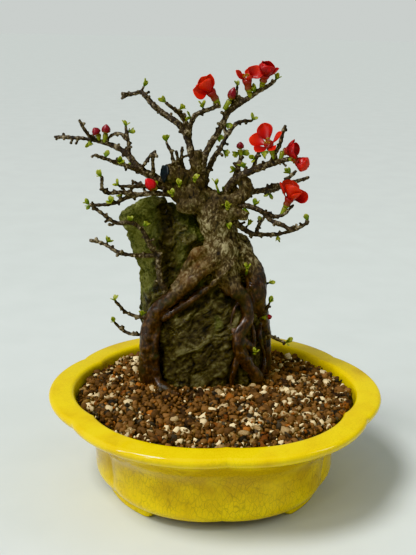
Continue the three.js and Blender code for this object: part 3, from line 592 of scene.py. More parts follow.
@dataclass(frozen=True)
class MossyStone(Finish):
    """Volcanic stone broken by hand, kept damp. Its slanting layers flake, pale on their edges, with
    painted shade taking their clefts and cracks to near black, and with wet glints. Moss grows over its
    top, its left shoulder and in its clefts, and painted light makes the moss on the left flank paler."""

    # Near-black painted shade for clefts and cracks.
    cleft: str = "#080603"
    face: str = "#352b14"
    edge: str = "#5c5130"
    worn: str = "#8b835c"
    moss_dark: str = "#13180a"
    moss: str = "#3c4314"
    moss_bright: str = "#94955a"
    layer_slant: float = -0.64
    flake_size: float = 4.5
    tuft_size: float = 1.2
    patch_size: float = 8.0

    def paint(self, add: Adder, surface: Setter) -> None:
        """Adds the stone's colours by its relief, with painted shade in its clefts, the moss over them, made
        paler on the left flank with painted light, and the wet patches.
        """
        place = add("TexCoord", out="Object")
        ridge, moist, flank_light = self.marks(add, "ridge", "moss", "lichen")
        layers = add("Mapping", {"vector_type": "TEXTURE", "Rotation": (0, self.layer_slant, 0),
                                 "Scale": (2.2, 2.2, 1)}, {"Vector": place})
        flakes = add("TexNoise", {
            "noise_type": "RIDGED_MULTIFRACTAL", "Scale": per_mm(self.flake_size), "Detail": 7,
            "Roughness": 0.75, "Offset": 1, "Gain": 2, "Distortion": 0.5}, {"Vector": layers})
        relief = add("Math", {"operation": "MULTIPLY", 1: 0.35}, {0: ridge})
        tufts = add("TexNoise", {"Scale": per_mm(self.tuft_size), "Detail": 6, "Roughness": 0.75},
                    {"Vector": place})
        grain = add("Math", {"operation": "MULTIPLY_ADD", 1: 0.35}, {0: tufts, 2: relief})
        height = add("Math", {"operation": "MULTIPLY_ADD", 1: 0.11}, {0: flakes, 2: grain})
        # Colour by relief: painted shade takes clefts and cracks down to near black, and raised edges are
        # paler.
        stone = add("ValToRGB", {"stops": (
            (0.38, self.cleft), (0.5, self.face), (0.6, self.edge), (0.7, self.worn))}, {"Fac": height})
        patches = add("TexNoise", {"Scale": per_mm(self.patch_size), "Detail": 4}, {"Vector": place})
        lush = add("Math", {"operation": "MULTIPLY_ADD", 1: 0.7}, {0: patches, 2: tufts})
        # Painted light: the moss on the lit left flank is made paler.
        paler = add("Math", {"operation": "MULTIPLY_ADD", 1: 0.07}, {0: flank_light, 2: lush})
        green = add("ValToRGB", {"stops": (
            (0.58, self.moss_dark), (0.8, self.moss), (1.0, self.moss_bright))}, {"Fac": paler})
        colour = add("Mix", {"data_type": "RGBA"}, {0: moist, 6: stone, 7: green})
        wet = add("MapRange", {"From Min": 0.35, "From Max": 0.62, "To Min": 0.14, "To Max": 0.6},
                  {"Value": patches})
        dry = add("Math", {"operation": "MAXIMUM"}, {0: wet, 1: moist})
        flaked = add("Bump", {"Strength": 1.0, "Distance": 0.0008}, {"Height": flakes})
        grit = add("Bump", {"Strength": 0.9, "Distance": 0.001}, {"Height": tufts, "Normal": flaked})
        surface(links={"Base Color": colour, "Roughness": dry, "Normal": grit})


@dataclass(frozen=True)
class OldBark(Finish):
    """Quince bark as it grew. On the trunk it is scaly, dry and grey-brown, and painted shade darkens
    it over the crown. Towards the roots it turns smooth, dark and wet, with paler worn ridges, and amber
    where young wood swells."""

    furrow: str = "#160f07"
    bark: str = "#4c3e26"
    plate: str = "#9c916d"
    root_dark: str = "#090402"
    root: str = "#331e0f"
    root_worn: str = "#5f432a"
    amber: str = "#5b3913"
    algae: str = "#33360f"
    plate_size: float = 2.6
    patch_size: float = 9.0
    speckle_size: float = 0.9

    def paint(self, add: Adder, surface: Setter) -> None:
        """Adds the scaly colours, the wet root colours, the algae and the amber swellings."""
        place = add("TexCoord", out="Object")
        ridge, wet, young = self.marks(add, "ridge", "wet", "amber")
        grown = add("Mapping", {"vector_type": "TEXTURE", "Scale": (1, 1, 1.6)}, {"Vector": place})
        scales = add("TexNoise", {
            "noise_type": "RIDGED_MULTIFRACTAL", "Scale": per_mm(self.plate_size), "Detail": 6,
            "Roughness": 0.7, "Offset": 1, "Gain": 2, "Distortion": 0.7}, {"Vector": grown})
        broad = add("TexNoise", {"Scale": per_mm(self.patch_size), "Detail": 4}, {"Vector": place})
        speckle = add("TexNoise", {"Scale": per_mm(self.speckle_size), "Detail": 5, "Roughness": 0.75},
                      {"Vector": grown})
        relief = add("Math", {"operation": "MULTIPLY", 1: 0.3}, {0: ridge})
        grain = add("Math", {"operation": "MULTIPLY_ADD", 1: 0.28}, {0: speckle, 2: relief})
        height = add("Math", {"operation": "MULTIPLY_ADD", 1: 0.1}, {0: scales, 2: grain})
        dry = add("ValToRGB", {"stops": ((0.27, self.furrow), (0.42, self.bark), (0.57, self.plate))},
                  {"Fac": height})
        damp = add("ValToRGB", {"stops": ((0.25, self.root_dark), (0.43, self.root), (0.55, self.root_worn))},
                   {"Fac": height})
        bark = add("Mix", {"data_type": "RGBA"}, {0: wet, 6: dry, 7: damp})
        green = add("MapRange", {"From Min": 0.52, "From Max": 0.7, "To Max": 0.4}, {"Value": broad})
        mossed = add("Mix", {"data_type": "RGBA", 7: linear(self.algae)}, {0: green, 6: bark})
        glow = add("Mix", {"data_type": "RGBA", 7: linear(self.amber)}, {0: young, 6: mossed})
        film = add("MapRange", {"From Min": 0.35, "From Max": 0.65, "To Min": 0.25, "To Max": 0.55},
                   {"Value": broad})
        rough = add("Mix", {2: 0.75}, {0: wet, 3: film})
        coarse = add("MapRange", {"To Min": 1.0, "To Max": 0.4}, {"Value": wet})
        rind = add("Bump", {"Distance": 0.0008}, {"Height": height, "Strength": coarse})
        wettest = add("MapRange", {"From Min": 0.6, "From Max": 0.4, "To Max": 0.32}, {"Value": broad})
        water = add("Math", {"operation": "MULTIPLY"}, {0: wettest, 1: wet})
        surface({"Coat Roughness": 0.12},
                {"Coat Weight": water, "Base Color": glow, "Roughness": rough, "Normal": rind})


@dataclass(frozen=True)
class TwigBark(Finish):
    """Thin bark of branches and twigs as it grew: dark, wrinkled, with paler ridges and a dull sheen."""

    furrow: str = "#140d08"
    bark: str = "#382b1b"
    ridge: str = "#94876a"
    wrinkle_size: float = 1.0

    def paint(self, add: Adder, surface: Setter) -> None:
        """Adds dark furrows, paler ridges and fine wrinkles."""
        place = add("TexCoord", out="Object")
        relief, = self.marks(add, "ridge")
        mottle = add("TexNoise", {"Scale": per_mm(self.wrinkle_size), "Detail": 6, "Roughness": 0.75},
                     {"Vector": place})
        raised = add("Math", {"operation": "MULTIPLY", 1: 0.22}, {0: relief})
        height = add("Math", {"operation": "MULTIPLY_ADD", 1: 0.6}, {0: mottle, 2: raised})
        colour = add("ValToRGB", {"stops": ((0.3, self.furrow), (0.42, self.bark), (0.52, self.ridge))},
                     {"Fac": height})
        bump = add("Bump", {"Strength": 0.9, "Distance": 0.0004}, {"Height": mottle})
        surface({"Roughness": 0.62}, {"Base Color": colour, "Normal": bump})


@dataclass(frozen=True)
class LivingBlade(Finish):
    """Thin living blade that grew with a fan of veins. Light comes through it and glows in its own colour,
    and its colour changes from foot to rim."""

    foot: str
    body: str
    rim: str
    foot_end: float
    body_at: float
    own_shade: float
    vein_pitch: float
    vein_relief: float
    roughness: float
    glow: float
    glow_colour: tuple[float, float, float]
    glow_depth: float
    sheen: float = 0.0

    def paint(self, add: Adder, surface: Setter) -> None:
        """Adds the colour from foot to rim, the pleats of the veins and the light that comes through."""
        along, across, tint = self.marks(add, "along", "across", "tint")
        height = add("Math", {"operation": "MULTIPLY_ADD", 1: self.own_shade}, {0: tint, 2: along})
        colour = add("ValToRGB", {"stops": (
            (self.foot_end, self.foot), (self.body_at, self.body), (1.0, self.rim))}, {"Fac": height})
        veins = add("Math", {"operation": "PINGPONG", 1: self.vein_pitch}, {0: across})
        bump = add("Bump", {"Strength": self.vein_relief, "Distance": 0.0006}, {"Height": veins})
        surface({"Roughness": self.roughness, "Sheen Weight": self.sheen, "Subsurface Weight": self.glow,
                 "Subsurface Radius": self.glow_colour, "Subsurface Scale": self.glow_depth},
                {"Base Color": colour, "Normal": bump})


@dataclass(frozen=True)
class QuincePetal(LivingBlade):
    """Living petal: soft and slightly waxy, glowing where light comes through. Painted shade darkens its
    claw and a painted highlight lightens its rim.
    """

    # Painted shade at the claw.
    foot: str = "#5c0606"
    body: str = "#a80d06"
    # Painted highlight at the rim.
    rim: str = "#cb2c0e"
    foot_end: float = 0.05
    body_at: float = 0.5
    own_shade: float = 0.3
    vein_pitch: float = 0.06
    vein_relief: float = 0.3
    roughness: float = 0.38
    glow: float = 0.2
    glow_colour: tuple[float, float, float] = (1.0, 0.25, 0.15)
    glow_depth: float = 0.001
    sheen: float = 0.05


@dataclass(frozen=True)
class YoungLeaf(LivingBlade):
    """Leaf blade a few days old: thin and soft, light comes through it, and it is darker at its foot and
    yellower towards its tip."""

    foot: str = "#394a0d"
    body: str = "#5c721b"
    rim: str = "#929538"
    foot_end: float = 0.1
    body_at: float = 0.65
    own_shade: float = 0.45
    vein_pitch: float = 0.1
    vein_relief: float = 0.4
    roughness: float = 0.42
    glow: float = 0.25
    glow_colour: tuple[float, float, float] = (0.6, 1.0, 0.2)
    glow_depth: float = 0.0008


@dataclass(frozen=True)
class CalyxSkin(Finish):
    """Fleshy tube and ovary under a flower: smooth and moist, green at the foot, red-brown at the mouth."""

    foot: str = "#7c8826"
    neck: str = "#6f3a1f"
    mouth: str = "#84201a"
    mottle_size: float = 1.5

    def paint(self, add: Adder, surface: Setter) -> None:
        """Adds the colour from foot to mouth with a light mottle."""
        along, = self.marks(add, "along")
        place = add("TexCoord", out="Object")
        mottle = add("TexNoise", {"Scale": per_mm(self.mottle_size), "Detail": 3}, {"Vector": place})
        height = add("Math", {"operation": "MULTIPLY_ADD", 1: 0.3}, {0: mottle, 2: along})
        colour = add("ValToRGB", {"stops": ((0.22, self.foot), (0.4, self.neck), (0.95, self.mouth))},
                     {"Fac": height})
        surface({"Roughness": 0.35}, {"Base Color": colour})


@dataclass(frozen=True)
class GrainySkin(Finish):
    """Small or plain part of one colour with a fine mottle, such as a stamen, a plastic mesh or bare clay."""

    dark: str
    light: str
    roughness: float
    grain: float = 0.6
    dark_end: float = 0.35
    light_from: float = 0.65
    relief: float = 0.3
    relief_depth: float = 0.0002

    def paint(self, add: Adder, surface: Setter) -> None:
        """Adds two close colours and a fine grain."""
        place = add("TexCoord", out="Object")
        mottle = add("TexNoise", {"Scale": per_mm(self.grain), "Detail": 4}, {"Vector": place})
        colour = add("ValToRGB", {"stops": ((self.dark_end, self.dark), (self.light_from, self.light))},
                     {"Fac": mottle})
        bump = add("Bump", {"Strength": self.relief, "Distance": self.relief_depth}, {"Height": mottle})
        surface({"Roughness": self.roughness}, {"Base Color": colour, "Normal": bump})


@dataclass(frozen=True)
class SoilGrain(Finish):
    """Crushed and sieved grains: porous, matt, each a little lighter or darker than the next."""

    dark: str
    light: str
    pore: float = 0.7
    roughness: float = 0.85

    def paint(self, add: Adder, surface: Setter) -> None:
        """Adds each grain's own shade and its pores."""
        place = add("TexCoord", out="Object")
        tint, = self.marks(add, "tint")
        pores = add("TexNoise", {"Scale": per_mm(self.pore), "Detail": 4, "Roughness": 0.7},
                    {"Vector": place})
        own = add("Math", {"operation": "MULTIPLY", 1: 0.65}, {0: tint})
        shade = add("Math", {"operation": "MULTIPLY_ADD", 1: 0.5}, {0: pores, 2: own})
        colour = add("ValToRGB", {"stops": ((0.22, self.dark), (0.9, self.light))}, {"Fac": shade})
        bump = add("Bump", {"Strength": 0.7, "Distance": 0.0004}, {"Height": pores})
        surface({"Roughness": self.roughness}, {"Base Color": colour, "Normal": bump})


LEMON_GLAZE = CrackledGlaze("lemon_glaze_dipped")
# Bare fired clay under the pot: matt, warm and gritty.
STONEWARE = GrainySkin("stoneware_unglazed", "#8a5a3a", "#b98a62", 0.85, grain=0.8, dark_end=0.4,
                       light_from=0.7, relief=0.5, relief_depth=0.0003)
STONE = MossyStone("volcanic_stone_mossed")
BARK = OldBark("quince_bark_grown")
TWIG = TwigBark("twig_bark_grown")
LEAF = YoungLeaf("leaf_young")
# The petals and buds below are darker towards the foot with painted shade and lighter towards the tip with a
# painted highlight.
PETAL = QuincePetal("petal_scarlet")
PETAL_DEEP = QuincePetal("petal_crimson", foot="#3a0408", body="#82080c", rim="#ad1614")
BUD_BRIGHT = QuincePetal("bud_petal_scarlet", foot="#700812", body="#a50d16", rim="#c41c22")
BUD_DARK = QuincePetal("bud_petal_dark", foot="#2e040b", body="#620d17", rim="#841c24")
CALYX = CalyxSkin("calyx_fleshy")
FILAMENT = GrainySkin("stamen_filament", "#a8473a", "#d9a48a", 0.5)
# Dry pollen: matt and powdery.
ANTHER = GrainySkin("stamen_anther_pollen", "#6e5016", "#b8922e", 0.9)
# Brushed-on paste, dried to a dark, uneven, slightly shiny crust.
PASTE = GrainySkin("wound_paste_dried", "#050607", "#141b20", 0.55, grain=1.6)
MESH_PLASTIC = GrainySkin("screen_polyethylene_moulded", "#1c1f1d", "#2b2f2c", 0.55)
FINES = SoilGrain("soil_fines_clay", "#140c06", "#3a2817")
PUMICE = SoilGrain("soil_pumice_crushed", "#7c5a29", "#f0dcae", roughness=0.8)
CLAY = SoilGrain("soil_clay_fired", "#1c1008", "#876038")
RUST = SoilGrain("soil_clay_rust", "#4c250c", "#a5652b")
LAVA = SoilGrain("soil_lava_crushed", "#1b1611", "#544a3c")
# Matt paint, almost even, so that it shows nothing but the shadow.
STUDIO_FLOOR = GrainySkin("floor_painted_matt", "#cacfcc", "#cdd2cf", 0.7, grain=40)


def piece(name: str, form: Form, finishes: Sequence[Finish], replaces: Sequence[str] = (),
          faceted: bool = False) -> None:
    """Makes a visible piece that rides on the part.

    Args:
        name: Name of the piece.
        form: Its form in millimetres.
        finishes: Its finishes, in the order that the form's faces count them.
        replaces: CAD nodes that it stands for.
        faceted: Whether its faces meet at sharp edges.
    """
    mesh = form.mesh(name)
    if not faceted:
        mesh.shade_smooth()
    for finish in finishes:
        mesh.materials.append(finish.material())
    made = placed(name, mesh)
    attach(made, "root")
    if replaces:
        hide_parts(*replaces)
    triangles = int((np.sum(form.faces >= 0, axis=1) - 2).sum())
    LOG.info("%s: %d triangles", name, triangles)


# Pot.
@dataclass
class Pot:
    """Lobed pot with a broad lip and four low feet. Profiles are radius and height in a lobe's middle."""

    depth_ratio: float = 0.92
    lobes: int = 6
    columns: int = 50
    notch_in_body: float = 0.035
    notch_in_rim: float = 0.042
    outside: tuple[tuple[float, float], ...] = (
        (58, 4.5), (60, 4.5), (65.5, 6.5), (68.9, 11), (69.4, 20), (71.2, 31.5), (75, 38), (80.5, 44),
        (88, 50), (92.8, 52.2), (94.7, 54.6), (95, 56.8), (93.8, 58))
    lip: tuple[tuple[float, float], ...] = ((93.8, 58), (90, 58.25), (86, 58.4), (82.4, 58.4))
    inside: tuple[tuple[float, float], ...] = (
        (82.4, 58.4), (81, 57.4), (79.6, 51), (75, 44), (66.2, 32), (64, 22), (59.5, 9.5))
    floor: tuple[float, float] = (4.5, 9.5)
    foot_height: float = 4.5
    foot_radii: tuple[float, float] = (53.0, 62.0)
    foot_turn: tuple[float, float] = (13.0, 52.0)
    foot_columns: int = 26
    foot_bevel: float = 1.2
    foot_ease: float = 0.35
    drain_place: float = 34.0
    drain_radius: float = 6.5

    def lobe_factor(self, angle: Array, height: Array) -> Array:
        """How far the outline stands out, 1 in the middle of a lobe.

        Args:
            angle: Plan angles in radians.
            height: Heights in millimetres.

        Returns:
            One factor for each.
        """
        pitch = 2 * math.pi / self.lobes
        part = ((angle + math.pi / 2) % pitch) / pitch
        pinch = self.notch_in_body + (self.notch_in_rim - self.notch_in_body) * ease(44, 54, height)
        return 1 - pinch * (1 - np.abs(np.sin(math.pi * part)) ** 0.7)

    def turned(self, profile: Array) -> Array:
        """Rings of points of a profile that is turned and pressed into lobes."""
        angle = round_turns(self.lobes * self.columns)[None, :]
        radius, height = profile[:, 0][:, None], profile[:, 1][:, None]
        reach = radius * self.lobe_factor(angle, height)
        flat = [reach * np.cos(angle), reach * np.sin(angle) * self.depth_ratio, height + 0 * angle]
        return np.stack(flat, axis=-1)

    def profile(self) -> Array:
        """The pot's section from the middle of its base, up outside, over the lip and down inside."""
        parts = []
        for line in (self.outside, self.lip, self.inside):
            curve = smooth_curve([(radius, 0, height) for radius, height in line], 1.1)
            parts.append(curve[:, [0, 2]])
        bottom = np.array([[8, self.floor[0]], [30, self.floor[0]], [50, self.floor[0]]])
        return np.concatenate([bottom, parts[0], parts[1][1:], parts[2][1:], bottom[::-1] + (0, 5)])

    def foot(self, right: int, back: int) -> Form:
        """One foot with softly rounded lower edges and ends.

        Args:
            right: 1 for a right foot, -1 for a left one.
            back: 1 for a back foot, -1 for a front one.

        Returns:
            The closed foot.
        """
        inner, outer = self.foot_radii
        top = self.foot_height + 1
        bevel, soft = self.foot_bevel, self.foot_ease
        section = np.array([
            (inner, top), (inner, bevel), (inner + soft, soft), (inner + bevel, 0), (outer - bevel, 0),
            (outer - soft, soft), (outer, bevel), (outer, top)])
        turns = np.radians(np.linspace(*self.foot_turn, self.foot_columns))
        middle = section.mean(axis=0) * (1, 0) + (0, top)
        column = np.arange(self.foot_columns)
        edge = np.minimum(column, column[::-1])
        shrink = np.interp(edge, (0, 1, 2), (0.8, 0.94, 1))[:, None, None]
        sections = middle + (section[None] - middle) * shrink
        x = right * sections[..., 0] * np.cos(turns)[:, None]
        y = back * self.depth_ratio * sections[..., 0] * np.sin(turns)[:, None]
        grid = np.stack([x, y, sections[..., 1]], axis=-1)
        return rings(grid if right * back > 0 else grid[::-1])

    def build(self) -> None:
        """Makes the pot: turned body, feet, and drain holes cut through its floor."""
        body = rings(self.turned(self.profile()))
        feet = [self.foot(right, back) for right, back in product((-1, 1), repeat=2)]
        drains = []
        for side in (-1, 1):
            path = np.array([[side * self.drain_place, 0, z] for z in (2.0, 12.0)])
            drains.append(tube(path, np.full(2, self.drain_radius), 48))
        whole = joined([self.cut(body, joined(drains)), *feet])
        heights = whole.points[np.where(whole.faces < 0, whole.faces[:, :1], whole.faces), 2]
        flat = np.ptp(heights, axis=1) < 0.05
        whole.finish = (flat & (heights[:, 0] < self.floor[0] + 0.05)).astype(int)
        piece("pot_glazed", whole, (LEMON_GLAZE, STONEWARE), ["pot"])

    @staticmethod
    def cut(body: Form, tool: Form) -> Form:
        """The body with the tool's volume cut away, in triangles and squares."""
        holder, cutter = (placed(n, f.mesh(n, scale=1)) for n, f in (("body", body), ("cutter", tool)))
        drill = holder.modifiers.new("drill", "BOOLEAN")
        drill.operation = "DIFFERENCE"
        drill.object = cutter
        split = holder.modifiers.new("split", "TRIANGULATE")
        split.min_vertices = 5
        form = worked(holder)
        bpy.data.objects.remove(cutter)
        return form


# Rock.
class Side(Enum):
    """The side of the rock that a root runs down."""

    FRONT = -1
    BACK = 1


@dataclass
class Rock:
    """Standing stone. Its levels are a height, then the left, right, front and back there. Its lumps,
    blocks, layers, chips and cracks are a rise or depth and a size each."""

    levels: tuple[tuple[float, ...], ...] = (
        (42, -36, 27, 2, 41), (56, -41, 31, -4, 46), (72, -42, 31, -2, 47), (88, -42, 29, -2, 47),
        (100, -42, 26, 0, 46), (112, -45, 24, 1, 46), (124, -44, 22, 2, 45), (133, -47, 15, 3, 44),
        (141, -50, 3, 4, 42), (148, -52, -6, 6, 40), (154, -52, -13, 8, 38), (159, -49, -21, 11, 34),
        (162, -45, -26, 14, 30), (164, -41, -30, 18, 26))
    squareness: float = 2.7
    lumps: tuple[tuple[float, float], ...] = ((2.8, 19), (1.6, 9))
    block: tuple[float, float] = (3.8, 17)
    layer: tuple[float, float] = (1.8, 5)
    chip: tuple[float, float] = (1.2, 3.4)
    crack: tuple[float, float] = (0.9, 24)
    smooth_top: tuple[float, float] = (159, 164)
    cleft_at: float = -28.0
    cleft_width: float = 4.5
    cleft_depth: float = 5.0
    cleft_heights: tuple[float, float] = (112, 130)
    gap_depth: float = 1.9
    gap_reach: float = 3.5
    voxel: float = 0.72

    def level(self, z: Array) -> tuple[Array, Array, Array, Array]:
        """Middle x and y, half width and half depth of the outline at each height."""
        table = np.array(self.levels, dtype=float)
        left, right, front, back = (np.interp(z, table[:, 0], table[:, n]) for n in range(1, 5))
        return (left + right) / 2, (front + back) / 2, (right - left) / 2, (back - front) / 2

    def face(self, x: float, z: float, side: Side) -> float:
        """Depth of the rock's front or back at a place, without its lumps."""
        middle_x, middle_y, width, depth = self.level(np.array(z))
        across = min(0.995, abs((x - middle_x) / width))
        round_off = (1 - across ** self.squareness) ** (1 / self.squareness)
        return float(middle_y + side.value * depth * round_off)

    def holds(self, x: Array, y: Array, z: float, margin: float) -> Array:
        """Whether places at one height lie in the rock or within a margin of it."""
        middle_x, middle_y, width, depth = self.level(np.array(z))
        across = np.abs((x - middle_x) / (width + margin)) ** self.squareness
        return across + np.abs((y - middle_y) / (depth + margin)) ** self.squareness < 1

    def column(self) -> Form:
        """The stone's lumpy outline with its cleft."""
        bottom, top = self.levels[0][0], self.levels[-1][0]
        height = (bottom + (top - bottom) * np.linspace(0, 1, 110) ** 0.85)[:, None]
        turn = round_turns(140)[None, :]
        x, y, width, depth = self.level(height)
        spread = np.abs(np.cos(turn)) ** self.squareness + np.abs(np.sin(turn)) ** self.squareness
        reach = spread ** (-1 / self.squareness)
        place = [x + width * reach * np.cos(turn), y + depth * reach * np.sin(turn), height + 0 * turn]
        outline = np.stack(place, axis=-1)
        relief = sum(rise * noise(outline, size) for rise, size in self.lumps)
        gap = np.exp(-((outline[..., 0] - self.cleft_at) / self.cleft_width) ** 2)
        gap = gap * ease(*self.cleft_heights, outline[..., 2]) * (outline[..., 1] < 20)
        relief = (relief - self.cleft_depth * gap) * (1 - ease(*self.smooth_top, height))
        outline[..., 0] += relief * np.cos(turn)
        outline[..., 1] += relief * np.sin(turn)
        return rings(outline)

    def near_roots(self, points: Array, roots: Sequence[tuple[Array, Array]]) -> Array:
        """How close each point lies to a root, from 0 far off to 1 at its side.

        Args:
            points: Places on the stone.
            roots: Line of places and radii of each root.

        Returns:
            One number for each point.
        """
        places, radii = (np.concatenate(values) for values in zip(*roots))
        tree = KDTree(len(places))
        for index, place in enumerate(places):
            tree.insert(place, index)
        tree.balance()
        found = [tree.find(point)[1:] for point in points]
        nearest, distance = (np.array(column) for column in zip(*found))
        return 1 - ease(0.0, self.gap_reach, distance - radii[nearest])

    def moss(self, points: Array, normals: Array, ridge: Array) -> Array:
        """How much moss grows at each point, from 0 to 1; less in the deep cleft leaves it dark as painted
        shade.
        """
        x, _, z = points.T
        high = ease(100, 140, z - 0.35 * (x + 20)) + 0.8 * ease(-30, -44, x) * ease(76, 104, z)
        want = 0.95 * high + 0.4 * normals[:, 2] + 1.2 * fractal(points, 10, 4, 91) - 0.2 * ridge
        low = 0.6 * ease(0.3, 0.6, fractal(points, 9, 3, 55)) * (1 - ridge)
        # Painted shade: moss is taken out of the deep cleft at the front so that it shows dark there.
        dark = np.exp(-((x - self.cleft_at) / 7) ** 2) * ease(110, 120, z) * (points[:, 1] < 22)
        return np.clip(0.9 * ease(0.4, 0.95, want) + 0.6 * low - 0.9 * dark, 0, 1)

    def build(self, roots: Sequence[tuple[Array, Array]]) -> None:
        """Makes the stone with its blocks, ledges, cracks and grit, hollowed along the roots.

        Args:
            roots: Line of places and radii of each root that grips it.
        """
        skin = fused(self.column(), self.voxel, 2)
        points, normals = skin.points, skin.normals()
        bent = points + 4 * wandering(points, 11, 11) + 1.4 * wandering(points, 4, 14)
        bulge = np.abs(fractal(bent, self.block[1], 2, 21)) ** 0.7
        slanted = np.stack([0.3 * bent[:, 0], 0.3 * bent[:, 1], bent[:, 2] - 0.75 * bent[:, 0]], axis=-1)
        layer = np.abs(fractal(slanted, self.layer[1], 3, 41)) ** 0.8
        chips = np.abs(fractal(bent, self.chip[1], 3, 61)) ** 0.7
        crack = 1 - ease(0, 0.05, np.abs(fractal(bent, self.crack[1], 4, 33)))
        rise = self.block[0] * (bulge - 0.38) + self.layer[0] * (layer - 0.32) + self.chip[0] * (chips - 0.35)
        rise = rise - self.crack[0] * crack - self.gap_depth * self.near_roots(points, roots)
        # Relief mark: low in cracks and hollows, where the stone's colour takes painted shade, high on raised
        # edges.
        ridge = np.clip(0.02 + 0.3 * bulge + 0.6 * layer + 0.65 * chips - 0.4 * crack, 0, 1)
        moss = self.moss(points, normals, ridge)
        rise = rise + moss * (0.2 + 0.35 * noise(points, 1.7, 71))
        skin.points = points + normals * rise[:, None]
        # Painted light: a mask over the left flank, where the light falls, that makes the moss there paler.
        lichen = ease(-24, -38, points[:, 0]) * ease(84, 100, points[:, 2])
        skin.marks = {"ridge": ridge, "moss": moss, "lichen": lichen}
        piece("rock_mossed", skin, (STONE,), ["rock"])


# Trunk and roots.
@dataclass
class Limb:
    """Round length of old wood: a path through places in millimetres, and radii spread along it."""

    path: tuple[Point, ...]
    radii: tuple[float, ...]

    def form(self) -> Form:
        """The limb's closed round form."""
        path = smooth_curve(self.path, 1.0)
        return tube(path, spread_values(self.radii, len(path)), 24)


@dataclass
class Root:
    """Root that starts in the trunk, may pass over points, and follows the rock down through (x, z)."""

    side: Side
    radii: tuple[float, ...]
    start: Point
    line: tuple[tuple[float, float], ...]
    over: tuple[Point, ...] = ()
    proud: float = 0.45

    def places(self, rock: Rock) -> tuple[Array, Array]:
        """The root's line, half bedded in the rock, and its radii along it."""
        shares = np.linspace(0, 1, len(self.line) + 1)[1:]
        sizes = np.interp(shares, np.linspace(0, 1, len(self.radii)), self.radii)
        line = []
        for (x, z), radius in zip(self.line, sizes):
            line.append((x, rock.face(x, z, self.side) + self.side.value * self.proud * radius, z))
        path = smooth_curve((self.start, *self.over, *line), 1.0)
        return path, spread_values(self.radii, len(path))

    def form(self, rock: Rock) -> Form:
        """The root's closed round form."""
        path, radii = self.places(rock)
        return tube(path, radii, 20)


